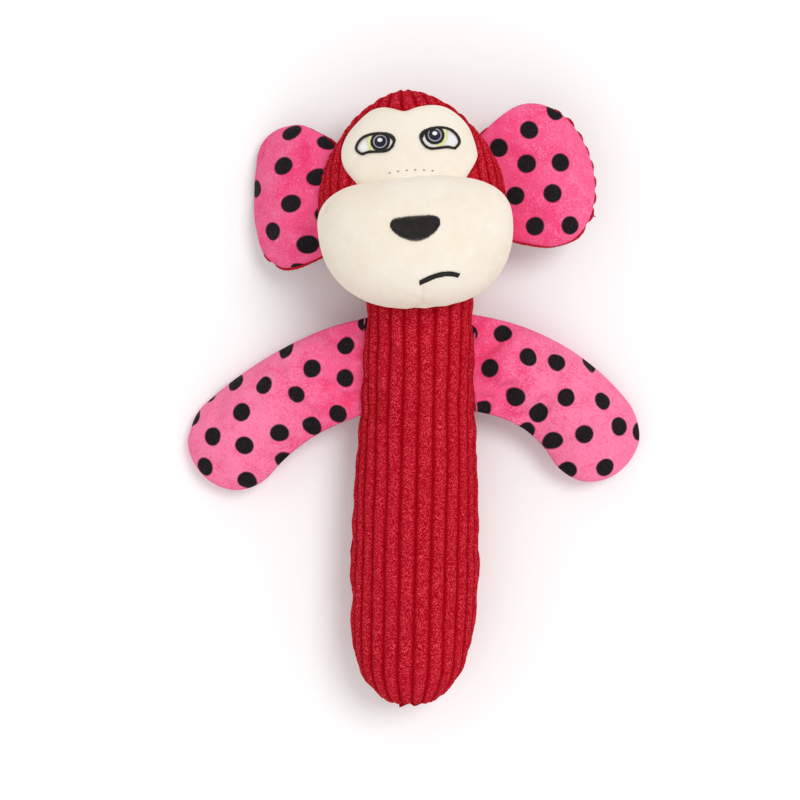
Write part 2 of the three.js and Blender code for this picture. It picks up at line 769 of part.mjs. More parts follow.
// A limb's panels and filling, with a straight root clear of its host and of the hinge line
function buildLimb(hinge, name, formAt, host, mirror, panelFinishes) {
  const clearOfHost = solid(grown(host, rootPlay).applyMatrix4(hinge.matrix.clone().invert()));
  const behindRoot = new THREE.BoxGeometry(far, far, far).translate(mirror * (rootPlay - far) / 2, 0, 0);
  const room = clearOfHost.add(solid(behindRoot));
  const shell = solid(formAt(0)).subtract(room).subtract(solid(formAt(minkyThickness)));
  addPiece(hinge, `${name}_front_panel`, shell.intersect(slab(fitGap / 2, far)), panelFinishes[0]);
  addPiece(hinge, `${name}_back_panel`, shell.intersect(slab(-far, -fitGap / 2)), panelFinishes[1]);
  const filling = solid(formAt(minkyThickness + fitGap)).subtract(room);
  addPiece(hinge, `${name}_stuffing`, filling, finishes.stuffing);
}

function buildEar(group, side) {
  const mirror = side === 'left' ? -1 : 1;
  const seam = sideSeam(headProfile(headRows), earAboveNeck, earSeamLength, mirror);
  const hinge = hingeGroup(`${side}_ear`, seam, headCentreZ, earPose[side].droop * degree, mirror);
  const host = headForm(headRows, headSides);
  buildLimb(hinge, `${side}_ear`, (inset) => earForm(side, inset), host, mirror,
    [finishes.minky, finishes.corduroy]);
  group.add(hinge);
  const seamLine = seam.points.map((p) => p.setZ(headCentreZ));
  const stitching = thread(seamLine, threadRadius, 2 * seamSteps);
  addPiece(group, `${side}_ear_seam_thread`, stitching, finishes.redThread);
}

function lowestPoint(form, hinge) {
  hinge.updateMatrix();
  const placed = form.clone().applyMatrix4(hinge.matrix);
  placed.computeBoundingBox();
  return placed.boundingBox.min.z;
}

// How far an arm hangs before its hand lies on the table
function restingDroop(form, seam, mirror) {
  let low = droopFrom * degree;
  let high = droopTo * degree;
  for (let i = 0; i < droopHalvings; i += 1) {
    const middle = (low + high) / 2;
    const clear = lowestPoint(form, hingeGroup('trial', seam, torsoSeam, middle, mirror)) > 0;
    low = clear ? middle : low;
    high = clear ? high : middle;
  }
  return low;
}

function buildArm(group, side) {
  const mirror = side === 'left' ? -1 : 1;
  const seam = sideSeam(torsoProfile(torsoRows), neckY - armBelowNeck, armSeamLength, mirror);
  const droop = restingDroop(armForm(side, 0), seam, mirror);
  const hinge = hingeGroup(`${side}_arm`, seam, torsoSeam, droop, mirror);
  const host = torsoForm(torsoRows, torsoSides);
  buildLimb(hinge, `${side}_arm`, (inset) => armForm(side, inset), host, mirror,
    [finishes.minky, finishes.minky]);
  group.add(hinge);
  const seamLine = seam.points.map((p) => p.setZ(torsoSeam));
  const stitching = thread(seamLine, threadRadius, 2 * seamSteps);
  addPiece(group, `${side}_arm_seam_thread`, stitching, finishes.pinkThread);
}

function buildToy() {
  const toy = new THREE.Group();
  toy.name = 'squeaky_dog_toy';
  buildTorso(toy);
  buildSqueaker(toy);
  buildNeck(toy);
  const head = new THREE.Group();
  head.name = 'head';
  head.position.set(0, neckY, torsoSeam);
  head.rotation.z = headTilt * degree;
  buildHead(head);
  buildFace(head);
  buildEar(head, 'left');
  buildEar(head, 'right');
  toy.add(head);
  buildArm(toy, 'left');
  buildArm(toy, 'right');
  return toy;
}

export default buildToy();
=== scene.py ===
import json
import math
import random

import bmesh
import bpy
import numpy as np
from mathutils import Matrix, Vector, geometry, noise
from mathutils.bvhtree import BVHTree


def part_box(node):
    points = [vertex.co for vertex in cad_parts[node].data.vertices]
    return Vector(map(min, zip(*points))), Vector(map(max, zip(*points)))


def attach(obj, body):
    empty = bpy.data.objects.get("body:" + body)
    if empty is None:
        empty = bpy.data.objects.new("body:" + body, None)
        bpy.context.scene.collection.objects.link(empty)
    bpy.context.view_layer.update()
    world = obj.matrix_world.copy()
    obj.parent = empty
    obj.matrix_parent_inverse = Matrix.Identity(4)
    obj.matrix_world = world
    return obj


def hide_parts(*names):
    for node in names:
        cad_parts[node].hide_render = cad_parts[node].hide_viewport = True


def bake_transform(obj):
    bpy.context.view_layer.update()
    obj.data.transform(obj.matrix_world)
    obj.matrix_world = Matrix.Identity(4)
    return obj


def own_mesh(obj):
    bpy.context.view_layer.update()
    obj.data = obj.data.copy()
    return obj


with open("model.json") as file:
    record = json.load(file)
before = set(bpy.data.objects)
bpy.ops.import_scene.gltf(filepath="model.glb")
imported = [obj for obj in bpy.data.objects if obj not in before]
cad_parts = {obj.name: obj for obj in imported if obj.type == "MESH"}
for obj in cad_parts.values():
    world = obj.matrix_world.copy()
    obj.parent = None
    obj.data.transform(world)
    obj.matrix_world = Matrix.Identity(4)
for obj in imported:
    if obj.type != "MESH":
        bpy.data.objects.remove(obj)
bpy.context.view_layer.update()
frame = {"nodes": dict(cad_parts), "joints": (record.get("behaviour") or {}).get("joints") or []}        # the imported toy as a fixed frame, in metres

mm = 0.001               # pieces are modelled in millimetres and scaled when they are placed
scene = bpy.context.scene
joints = {joint["name"]: joint for joint in frame["joints"]}
neckPivot = Vector(joints["head_turn"]["pos_m"]) / mm
headAcross = Vector(joints["head_nod"]["axis"])
headPlace = Matrix.Translation(neckPivot) @ Matrix.Rotation(math.atan2(headAcross.y, headAcross.x), 4, "Z")
print("frame loaded,", len(frame["nodes"]), "nodes")


# Camera, light and floor

photo = {
    "height": 1200,          # of the camera above the floor
    "pixelsPerMm": 2.39,     # at the side seams' height
    "pixels": 800, "aimX": -7.5, "aimY": 45.9, "roll": 1.13,
}
studio = {
    "lamps": {
        # where from, strength, and the angle that it fills
        "keyLight": ((0.5, 0.36, 1.3), 1.14, 26),
        "lowLight": ((-0.22, -0.9, 1.2), 0.42, 70),
    },
    "fill": 0.62, "floorGrey": 0.94,
    "floorLift": 0.06,       # its own light, where the camera sees it
    "floorSize": 4,          # half its side, in metres
    "floorDrop": 0.3,        # it lies this far below the toy
}


def addObject(name, data):
    added = bpy.data.objects.new(name, data)
    scene.collection.objects.link(added)
    return added


def makeCamera():
    lens = bpy.data.cameras.new("camera")
    seen = photo["pixels"] / photo["pixelsPerMm"]
    lens.lens = lens.sensor_width * (photo["height"] - neckPivot.z) / seen
    camera = addObject("camera", lens)
    camera.location = Vector((photo["aimX"], photo["aimY"], photo["height"])) * mm
    camera.rotation_euler.z = math.radians(photo["roll"])
    scene.camera = camera


class Wire:
    # A shader socket; sums on it add the nodes that work them out
    def __init__(self, tree, socket=None):
        self.tree = tree
        self.socket = socket

    def add(self, kind, settings=None, values=None, out=0):
        node = self.tree.nodes.new("ShaderNode" + kind)
        for name, value in (settings or {}).items():
            setattr(node, name, value)
        self.feed(node, values or {})
        return Wire(self.tree, node.outputs[out])

    def feed(self, node, values):
        for name, value in values.items():
            if isinstance(value, Wire):
                self.tree.links.new(value.socket, node.inputs[name])
            else:
                node.inputs[name].default_value = value

    def math(self, operation, first, second):
        return self.add("Math", {"operation": operation}, {0: first, 1: second})

    def __add__(self, other):
        return self.math("ADD", self, other)

    def __sub__(self, other):
        return self.math("SUBTRACT", self, other)

    def __rsub__(self, other):
        return self.math("SUBTRACT", other, self)

    def __mul__(self, other):
        return self.math("MULTIPLY", self, other)

    __radd__ = __add__
    __rmul__ = __mul__

    def atLeast(self, other):
        return self.math("MAXIMUM", self, other)

    def ramp(self, low, high):
        settings = {"interpolation_type": "SMOOTHSTEP"}
        return self.add("MapRange", settings, {"Value": self, "From Min": low, "From Max": high})

    def mix(self, low, high):
        return self.add("Mix", {"data_type": "RGBA"}, {0: self, 6: low, 7: high}, out=2)

    def noise(self, place, size, detail=2.0):
        values = {"Vector": place, "Scale": 1 / (size * mm), "Detail": detail, "Roughness": 0.6}
        return self.add("TexNoise", None, values)


def tint(red, green, blue):
    # A screen colour as the shader's linear one
    return (*(((c / 255 + 0.055) / 1.055) ** 2.4 for c in (red, green, blue)), 1.0)


def seenDirectly(wire):
    rays = ("Is Camera Ray", "Is Glossy Ray", "Is Transmission Ray")
    camera, glossy, through = (wire.add("LightPath", out=ray) for ray in rays)
    return camera.atLeast(glossy).atLeast(through)


def asMesh(bm, name):
    mesh = bpy.data.meshes.new(name)
    bm.to_mesh(mesh)
    bm.free()
    return mesh


def makeStudio():
    for name, (source, strength, softness) in studio["lamps"].items():
        sun = bpy.data.lights.new(name, "SUN")
        sun.energy = strength
        sun.angle = math.radians(softness)
        lamp = addObject(name, sun)
        lamp.rotation_euler = Vector(source).to_track_quat("Z", "Y").to_euler()

    world = bpy.data.worlds.new("studio")
    world.use_nodes = True
    scene.world = world
    wire = Wire(world.node_tree)
    fill, white = (wire.add("Background", None, {"Color": (1, 1, 1, 1), "Strength": level})
                   for level in (studio["fill"], 1.0))
    both = wire.add("MixShader", None, {0: seenDirectly(wire), 1: fill, 2: white})
    wire.feed(world.node_tree.nodes["World Output"], {"Surface": both})

    paper = bpy.data.materials.new("whitePaper")
    paper.use_nodes = True
    wire = Wire(paper.node_tree)
    grey = studio["floorGrey"]
    matt = wire.add("BsdfDiffuse", None, {"Color": (grey, grey, grey, 1)})
    lift = wire.add("Emission", None, {"Strength": studio["floorLift"]})
    lifted = wire.add("AddShader", None, {0: matt, 1: lift})
    both = wire.add("MixShader", None, {0: seenDirectly(wire), 1: matt, 2: lifted})
    wire.feed(paper.node_tree.nodes["Material Output"], {"Surface": both})
    bm = bmesh.new()
    bmesh.ops.create_grid(bm, x_segments=1, y_segments=1, size=studio["floorSize"])
    bmesh.ops.translate(bm, verts=bm.verts, vec=(0, 0, -studio["floorDrop"] * mm))
    mesh = asMesh(bm, "floor")
    mesh.materials.append(paper)
    addObject("floor", mesh)


makeCamera()
makeStudio()
scene.view_settings.view_transform = "Standard"
print("camera, light and floor ready")


# Shared modelling

def smoothStep(low, high, value):
    t = min(1.0, max(0.0, (value - low) / (high - low)))
    return t * t * (3 - 2 * t)


def lerp(low, high, share):
    return low + (high - low) * share


bezier = geometry.interpolate_bezier


def smoothLine(points, steps, closed=False):
    # A smooth line or loop through a few points
    count = len(points)

    def pointAt(i):
        return points[i % count if closed else min(max(i, 0), count - 1)]

    smooth = [] if closed else points[:1]
    for i in range(count if closed else count - 1):
        before, here, after, later = (pointAt(i + step) for step in range(-1, 3))
        part = bezier(here, here + (after - before) / 6, after - (later - here) / 6, after, steps + 1)
        smooth += part[:-1] if closed else part[1:]
    return smooth


plumping = {
    "scale": 0.01,           # cloth is worked at ten times life size
    "frames": 20,
    "cloth": {
        "quality": 6,
        "mass": 0.3,
        "tension_stiffness": 12,
        "compression_stiffness": 12,
        "bending_stiffness": 0.4,
        "vertex_group_mass": "held",
        "use_pressure": True,
    },
}


def plump(bm, held, piece):
    # Filling pushes the cloth out from inside; held points stay, and none moves further than the cap
    mesh = bpy.data.meshes.new("plumping")
    bm.to_mesh(mesh)
    mesh.transform(Matrix.Scale(plumping["scale"], 4))
    cover = addObject("plumping", mesh)
    cover.vertex_groups.new(name="held").add(held, 1.0, "REPLACE")
    modifier = cover.modifiers.new("cloth", "CLOTH")
    cloth = modifier.settings
    for name, value in plumping["cloth"].items():
        setattr(cloth, name, value)
    cloth.shrink_min = -piece["slack"]
    cloth.uniform_pressure_force = piece["pressure"]
    cloth.effector_weights.gravity = 0
    modifier.collision_settings.use_collision = False
    modifier.point_cache.frame_start = 1
    modifier.point_cache.frame_end = plumping["frames"]
    for number in range(1, plumping["frames"] + 1):
        scene.frame_set(number)
    swollen = cover.evaluated_get(bpy.context.evaluated_depsgraph_get()).data
    for vert, moved in zip(bm.verts, swollen.vertices):
        step = moved.co / plumping["scale"] - vert.co
        vert.co += step * min(1, piece["cap"] / max(step.length, 1e-6))
    bpy.data.objects.remove(cover)
    bpy.data.meshes.remove(mesh)
    scene.frame_set(1)


def refined(bm, levels):
    # The same form as a smooth fine mesh, with its attributes carried over
    mesh = asMesh(bm, "refining")
    rough = addObject("refining", mesh)
    smoothing = rough.modifiers.new("smoothing", "SUBSURF")
    smoothing.levels = levels
    smoothing.render_levels = levels
    fine = bpy.data.meshes.new_from_object(rough.evaluated_get(bpy.context.evaluated_depsgraph_get()))
    bpy.data.objects.remove(rough)
    bpy.data.meshes.remove(mesh)
    return fine


def fillCover(bm, held, piece):
    # The cover starts a little small, apart from what is held, and is filled out
    fixed = set(held)
    for vert in bm.verts:
        if vert.index not in fixed:
            vert.co -= vert.normal * piece["shrink"]
    plump(bm, held, piece)
    return refined(bm, 2)


def faceOut(bm):
    bm.normal_update()
    bmesh.ops.recalc_face_normals(bm, faces=bm.faces)
    bm.verts.index_update()
    bm.normal_update()


def spun(profile, columns, axis=Vector((0, 1, 0))):
    # A form turned about an axis from its half outline, which is given as distances out and along
    bm = bmesh.new()
    verts = [bm.verts.new(Vector((p.x, 0, 0)) + axis * p.y) for p in profile]
    edges = [bm.edges.new(pair) for pair in zip(verts, verts[1:])]
    bmesh.ops.spin(bm, geom=verts + edges, cent=(0, 0, 0), axis=axis, dvec=(0, 0, 0),
                   angle=2 * math.pi, steps=columns, use_merge=True, use_duplicate=False)
    bmesh.ops.remove_doubles(bm, verts=bm.verts, dist=0.01)
    faceOut(bm)
    return bm


def surfaceOf(mesh, unit=1):
    return BVHTree.FromPolygons([v.co / unit for v in mesh.vertices], [p.vertices for p in mesh.polygons])


def dropOnto(surface, x, y):
    # The point of a surface straight below a place in the front view
    hit = surface.ray_cast(Vector((x, y, 300)), Vector((0, 0, -1)))[0]
    return hit if hit else surface.find_nearest(Vector((x, y, 40)))[0]


def boxOf(node):
    return [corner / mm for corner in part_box(node)]


def layFlat(mesh, floorZ):
    # The side that the piece rests on is pressed flat
    for vert in mesh.vertices:
        vert.co.z = max(floorZ, vert.co.z)


def addPiece(name, mesh, material, slot, nodes, place=None, body=None):
    mesh.transform(Matrix.Scale(mm, 4) @ (place or Matrix.Identity(4)))
    mesh.name = name
    mesh.materials.clear()
    mesh.materials.append(material)
    mesh.shade_smooth()
    piece = addObject(name, mesh)
    if body:
        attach(piece, body)
    if nodes:
        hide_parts(*nodes)
    print(" ", name, len(mesh.polygons), "faces")
    return piece


# Cloth, thread and squeaker finishes

def newMaterial(name, roughness, shine=0.05, sheen=0.0, sheenTint=(1, 1, 1, 1)):
    material = bpy.data.materials.new(name)
    material.use_nodes = True
    shader = material.node_tree.nodes["Principled BSDF"]
    wire = Wire(material.node_tree)
    wire.feed(shader, {"Roughness": roughness, "Specular IOR Level": shine})
    wire.feed(shader, {"Sheen Weight": sheen, "Sheen Roughness": 0.45, "Sheen Tint": sheenTint})
    return material, shader, wire, wire.add("TexCoord", out="Object")


def paint(wire, shader, colour, roughness, height, strength, depth):
    bump = wire.add("Bump", None, {"Height": height, "Strength": strength, "Distance": depth * mm})
    wire.feed(shader, {"Base Color": colour, "Roughness": roughness, "Normal": bump})


corduroyLook = {
    # valley is the bare weave's colour with painted shade in it; crest and tip carry painted light; shade is
    # painted shade in the pile's gaps
    "valley": (160, 0, 18),
    "flank": (179, 5, 29),
    "crest": (190, 11, 37),
    "tip": (242, 80, 92),
    "shade": (122, 0, 10),
    "napSize": 0.55, "tuftSize": 2.6, "cloudSize": 22,
}


def makeCorduroy():
    look = corduroyLook
    material, shader, wire, place = newMaterial("redCorduroy", 0.95, 0.01, 0.02, tint(255, 110, 110))
    rib = wire.add("Attribute", {"attribute_name": "rib"}, out="Fac")
    napAndShade = wire.noise(place, look["napSize"])
    tuft = wire.noise(place, look["tuftSize"])
    cloud = wire.noise(place, look["cloudSize"])
    # The ribs' colour: partly the bare weave between the wales, partly painted shade in the valleys and
    # painted light on the crests
    ground = rib.ramp(0.0, 0.8).mix(tint(*look["valley"]), tint(*look["flank"]))
    pile = (rib.ramp(0.45, 1.0) * cloud.ramp(0.25, 0.75)).mix(ground, tint(*look["crest"]))
    # Painted shade: dark flecks in the gaps of the pile
    hollow = (napAndShade.ramp(0.52, 0.34) * 0.55).mix(pile, tint(*look["shade"]))
    # Painted highlight: light flecks on the pile's tips, only on the crests, partly the fibres' own paler
    # tips
    speck = napAndShade.ramp(0.48, 0.66) * tuft.ramp(0.15, 0.6) * rib.ramp(0.1, 0.9)
    colour = speck.mix(hollow, tint(*look["tip"]))
    paint(wire, shader, colour, 0.95 - napAndShade * 0.15, napAndShade + tuft * 0.6, 0.6, 0.5)
    return material


minkyLook = {
    "deepPink": (240, 58, 114),
    "pink": (247, 92, 142),
    "palePink": (251, 132, 172),
    "dot": (29, 25, 28),
    "dotSheen": (57, 51, 55),
    "dotDiameter": 7.5, "dotEdge": 0.35,
    "fibreSize": 0.8, "mottleSize": 5, "cloudSize": 18,
}


def makePinkMinky():
    look = minkyLook
    material, shader, wire, place = newMaterial("pinkDottedMinky", 0.9, 0.04, 0.05, tint(255, 220, 235))
    distance = wire.add("Attribute", {"attribute_name": "dotDistance"}, out="Fac")
    limbShading = wire.add("Attribute", {"attribute_name": "limbShading"}, out="Fac")
    fibre = wire.noise(place, look["fibreSize"])
    mottle = wire.noise(place, look["mottleSize"], 4.0)
    cloud = wire.noise(place, look["cloudSize"])
    deep = cloud.ramp(0.35, 0.7).mix(tint(*look["pink"]), tint(*look["deepPink"]))
    # Painted shade and light: darker towards the limb's root and paler further out, mixed with random mottle
    # and fibres
    pale = limbShading + (mottle - 0.5) * 1.1 + (fibre - 0.5) * 2
    pink = pale.ramp(0.0, 1.0).mix(deep, tint(*look["palePink"]))
    black = (fibre.ramp(0.45, 0.8) * 0.6).mix(tint(*look["dot"]), tint(*look["dotSheen"]))
    edge = look["dotDiameter"] / 2 + (fibre - 0.5) * 0.6
    dotted = (edge - distance).ramp(-look["dotEdge"], look["dotEdge"])
    paint(wire, shader, dotted.mix(pink, black), 0.92 - fibre * 0.16, fibre + mottle * 0.8, 0.35, 0.4)
    return material


creamLook = {
    "cream": (248, 238, 223),
    "warm": (240, 224, 202),
    "pale": (253, 247, 236),
    "fibreSize": 0.5, "mottleSize": 3.5, "cloudSize": 24,
}


def makeCreamMinky():
    look = creamLook
    material, shader, wire, place = newMaterial("creamMinky", 0.9, 0.05, 0.06)
    fibre = wire.noise(place, look["fibreSize"])
    mottle = wire.noise(place, look["mottleSize"], 4.0)
    cloud = wire.noise(place, look["cloudSize"])
    warm = (cloud.ramp(0.35, 0.75) * 0.6).mix(tint(*look["cream"]), tint(*look["warm"]))
    soft = (mottle.ramp(0.4, 0.75) * 0.35).mix(warm, tint(*look["pale"]))
    colour = (fibre.ramp(0.6, 0.85) * 0.25).mix(soft, tint(*look["warm"]))
    paint(wire, shader, colour, 0.94 - fibre * 0.14, fibre + mottle * 0.7, 0.3, 0.35)
    return material


threadLook = {
    "plySize": 0.35, "shadeSize": 3,
}


def makeThread(name, dark, light):
    # Fine plies that catch the light along the strand
    material, shader, wire, place = newMaterial(name, 0.55, 0.2)
    ply = wire.noise(place, threadLook["plySize"])
    shade = wire.noise(place, threadLook["shadeSize"])
    colour = (ply * 0.6 + shade * 0.5).ramp(0.3, 0.8).mix(tint(*dark), tint(*light))
    paint(wire, shader, colour, 0.68 - ply * 0.25, ply, 0.5, 0.15)
    return material


def makePlastic(name, base, worn, roughness):
    # Moulded plastic with faint flow marks
    material, shader, wire, place = newMaterial(name, roughness, 0.5)
    flow = wire.noise(place, 6, 4.0)
    grain = wire.noise(place, 0.6)
    colour = flow.ramp(0.3, 0.75).mix(tint(*base), tint(*worn))
    paint(wire, shader, colour, roughness + (grain - 0.5) * 0.2, grain, 0.15, 0.1)
    return material


def makeFibre():
    # Loose white polyester wadding
    material, shader, wire, place = newMaterial("fibreFill", 0.95, 0.05, 0.2)
    strand = wire.noise(place, 0.8, 5.0)
    white = strand.ramp(0.3, 0.7).mix(tint(222, 220, 214), tint(250, 249, 245))
    paint(wire, shader, white, 0.98 - strand * 0.1, strand, 0.8, 0.8)
    return material


redCorduroy = makeCorduroy()
pinkMinky = makePinkMinky()
creamMinky = makeCreamMinky()
fibreFill = makeFibre()
blackThread = makeThread("blackThread", (14, 12, 12), (46, 41, 40))
whiteThread = makeThread("whiteThread", (236, 233, 236), (254, 253, 252))
redThread = makeThread("redThread", (128, 8, 22), (178, 34, 48))
pinkThread = makeThread("pinkThread", (196, 60, 108), (236, 110, 152))
limeThread = makeThread("limeThread", (218, 218, 140), (244, 244, 190))
navyThread = makeThread("navyThread", (16, 14, 36), (44, 42, 72))
greyThread = makeThread("greyThread", (150, 148, 158), (206, 204, 212))
tanThread = makeThread("tanThread", (92, 78, 62), (140, 124, 104))
squeakerPlastic = makePlastic("squeakerPlastic", (240, 240, 234), (226, 225, 214), 0.45)
squeakerVinyl = makePlastic("squeakerVinyl", (230, 227, 216), (214, 208, 190), 0.35)
reedFilm = makePlastic("reedFilm", (201, 162, 74), (176, 134, 52), 0.3)
print("finishes ready")


# Corduroy ribs

corduroy = {
    "pitch": 6.6,            # from rib to rib on a wide stretch
    "gathered": 0.45,        # share of the pitch left where the cloth is drawn to a point
    "wideRadius": 21,
    "depth": 1.15,
    "fullness": 2.3,         # higher gives fatter ribs and narrower valleys
    "level": 0.62,           # share of the depth that lies below the cover's plain form
    "stray": 0.13,
    "plush": 0.22, "plushSize": 0.9,
    "calmRounds": 12,        # of smoothing, where the ribs run together
}


def ribAt(across, along, radius, seed):
    # 0 in a valley and 1 on a crest, for a place on a panel
    share = corduroy["gathered"] + (1 - corduroy["gathered"]) * min(1, radius / corduroy["wideRadius"])
    stray = corduroy["stray"] * noise.noise(Vector((across / 16, along / 30, seed)))
    phase = (across / (corduroy["pitch"] * share) + stray) % 1
    return 1 - abs(2 * phase - 1) ** corduroy["fullness"]


def calmPole(mesh, centreZ, radius, isNear):
    # The cloth lies smooth where the ribs run together
    bm = bmesh.new()
    bm.from_mesh(mesh)
    near = [v for v in bm.verts if isNear(v.co.y) and math.hypot(v.co.x, v.co.z - centreZ) < radius]
    for turn in range(corduroy["calmRounds"]):
        bmesh.ops.smooth_vert(bm, verts=near, factor=0.5, use_axis_x=True, use_axis_y=True, use_axis_z=True)
    bm.to_mesh(mesh)
    bm.free()


def newValue(mesh, name):
    return mesh.attributes.new(name, "FLOAT", "POINT").data


def raiseRibs(mesh, ribOf):
    # Moves each point along its normal, and keeps the rib's height for the finish, which paints valleys
    # darker and crests lighter, partly as painted shade and light
    keep = newValue(mesh, "rib")
    normals = [vert.normal.copy() for vert in mesh.vertices]
    for vert, normal in zip(mesh.vertices, normals):
        rib, sink = ribOf(vert.co)
        grain = corduroy["plush"] * noise.noise(vert.co / corduroy["plushSize"])
        keep[vert.index].value = rib
        vert.co += normal * ((rib - corduroy["level"]) * corduroy["depth"] + grain - sink)


# Torso

torsoLow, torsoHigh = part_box("torso_back_panel")
torso = {
    "half": (torsoHigh.x - torsoLow.x) / mm / 2,
    "depth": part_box("torso_front_panel")[1].z / mm - neckPivot.z,
    "endY": torsoLow.y / mm,
    "bellyY": -20,
    "neckRadius": 22.8, "neckFlare": 0.6,
    "footFlat": 0.7,         # shares for the outline's handles
    "footRise": 0.27, "chestRise": 0.17, "neckRise": 0.62,
    "columns": 64,
    "shrink": 1.2, "pressure": 1.2, "slack": 0.02, "cap": 2.2,
    "seamWidth": 2.6, "seamSink": 0.5,
    "footRadius": 7,         # the ribs fade out towards the lower end
    "footLean": 1.2,         # and that end sits this much to the left
    "calmRadius": 4,
    "puckerY": -36,          # where the left side is drawn in beside the closing stitch
    "puckerSize": 5, "puckerSink": 1.3,
    "endTuck": 1.2,          # the seam draws the lower end in
    "pressFrom": Vector((0, 0, 27)),     # the squeeze takes hold from here
    "pressTo": Vector((0, -2.5, 48)),    # and is full here
}


def torsoProfile():
    half, belly, neck = torso["half"], torso["bellyY"], neckPivot.y
    end = torso["endY"] + torso["endTuck"]
    below, above, radius = belly - end, neck - belly, torso["neckRadius"]
    lower = bezier(Vector((0, end)), Vector((torso["footFlat"] * half, end)),
                   Vector((half, end + torso["footRise"] * below)), Vector((half, belly)), 20)
    flare = Vector((radius + torso["neckFlare"], belly + torso["neckRise"] * above))
    upper = bezier(Vector((half, belly)), Vector((half, belly + torso["chestRise"] * above)),
                   flare, Vector((radius, neck)), 26)
    turns = [math.pi / 2 * i / 7 for i in range(1, 8)]
    dome = [Vector((radius * math.cos(turn), neck + radius * math.sin(turn))) for turn in turns]
    return lower[:-1] + upper + dome


def torsoRib(co):
    radius = math.hypot(co.x, co.z)
    turn = math.atan2(co.x, abs(co.z))
    clear = smoothStep(0, torso["seamWidth"], abs(co.z))
    neck = 1 - smoothStep(2, 9, co.y - neckPivot.y)
    rib = ribAt(radius * turn, co.y, radius, 1.0 if co.z > 0 else 7.0)
    rib = lerp(corduroy["level"], rib, smoothStep(0, torso["footRadius"], radius))
    pucker = Vector((co.x + torso["half"], co.y - torso["puckerY"], 0.5 * co.z)).length / torso["puckerSize"]
    sink = torso["seamSink"] * (1 - clear) + torso["puckerSink"] * math.exp(-pucker * pucker)
    return lerp(corduroy["level"], rib * (0.4 + 0.6 * clear), neck), sink * neck


def buildTorso():
    bm = spun(torsoProfile(), torso["columns"])
    for vert in bm.verts:
        radius = math.hypot(vert.co.x, vert.co.z)
        if radius > torso["depth"]:
            vert.co.z *= torso["depth"] / radius
        vert.co.x -= torso["footLean"] * smoothStep(torso["bellyY"], torso["endY"], vert.co.y)
    faceOut(bm)
    held = [v.index for v in bm.verts if abs(v.co.z) < 0.1 or v.co.y > neckPivot.y - 2]
    mesh = fillCover(bm, held, torso)
    smooth = surfaceOf(mesh)
    raiseRibs(mesh, torsoRib)
    calmPole(mesh, 0, torso["calmRadius"], lambda y: y < torso["bellyY"])
    layFlat(mesh, -neckPivot.z)
    cover = addPiece("torsoCover", mesh, redCorduroy, "corduroy_red",
                     ["torso_front_panel", "torso_back_panel", "torso_stuffing"], torsoPlace)
    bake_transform(cover)
    return cover, smooth


torsoPlace = Matrix.Translation((0, 0, neckPivot.z))
torsoCover, torsoSurface = buildTorso()
print("torso done")


# Head cover

head = {
    "half": 39.3, "depth": 31, "top": 90.3, "widest": 42, "bottom": 2,
    "centreZ": 8,
    "socket": 23.3,
    "heldTo": 12,            # the filling leaves the head's underside as it is
    "chinFlat": 0.92,        # shares for the outline's handles
    "cheekFall": 0.55, "templeRise": 0.5, "crownFlat": 0.36,
    "columns": 72,
    "shrink": 1.2, "pressure": 1.2, "slack": 0.02, "cap": 2.2,
    "seamWidth": 2.2, "seamSink": 0.8,
    "crownRadius": 13,       # the ribs fade out towards the crown
    "calmRadius": 5,
    "patchSink": 0.5,
}
patch = {
    "half": 28.1, "bottom": 39, "height": 43.2,
    "centre": Vector((0, 60)),
    "thickness": 1.2, "rise": 0.9, "tuck": 0.7,
    "rings": (0.985, 0.955, 0.9, 0.8, 0.65, 0.48, 0.3, 0.12),
}
patchSides = {
    "right": [(0, 0), (0.55, 0.05), (0.84, 0.28), (0.97, 0.41), (1, 0.5), (0.94, 0.7), (0.86, 0.81),
              (0.75, 0.89), (0.62, 0.955), (0.47, 0.985), (0.3, 0.985), (0.13, 0.965)],
    "left": [(-0.03, 0.935), (-0.19, 0.975), (-0.36, 1), (-0.54, 0.973), (-0.74, 0.87), (-0.89, 0.765),
             (-0.98, 0.645), (-1, 0.53), (-0.96, 0.42), (-0.83, 0.29), (-0.55, 0.05)],
}


def patchOutline():
    # A heart-topped outline, from the bottom up one side and down the other
    shares = patchSides["right"] + patchSides["left"]
    corners = [Vector((x * patch["half"], patch["bottom"] + y * patch["height"])) for x, y in shares]
    return smoothLine(corners, 4, True)


patchLine = patchOutline()
patchArms = [p - patch["centre"] for p in patchLine]
patchTurns = np.array([math.atan2(p.y, p.x) for p in patchArms])
patchReach = np.array([p.length for p in patchArms])


def patchShare(x, y):
    # 0 at the patch's centre and 1 on its outline
    arm = Vector((x, y)) - patch["centre"]
    turn = math.atan2(arm.y, arm.x)
    return arm.length / np.interp(turn, patchTurns, patchReach, period=2 * math.pi)


def headProfile():
    half, top, widest, bottom = head["half"], head["top"], head["widest"], head["bottom"]
    rise, fall = top - widest, widest - bottom
    lower = bezier(Vector((0, bottom)), Vector((head["chinFlat"] * half, bottom)),
                   Vector((half, widest - head["cheekFall"] * fall)), Vector((half, widest)), 24)
    upper = bezier(Vector((half, widest)), Vector((half, widest + head["templeRise"] * rise)),
                   Vector((head["crownFlat"] * half, top)), Vector((0, top)), 24)
    return lower[:-1] + upper


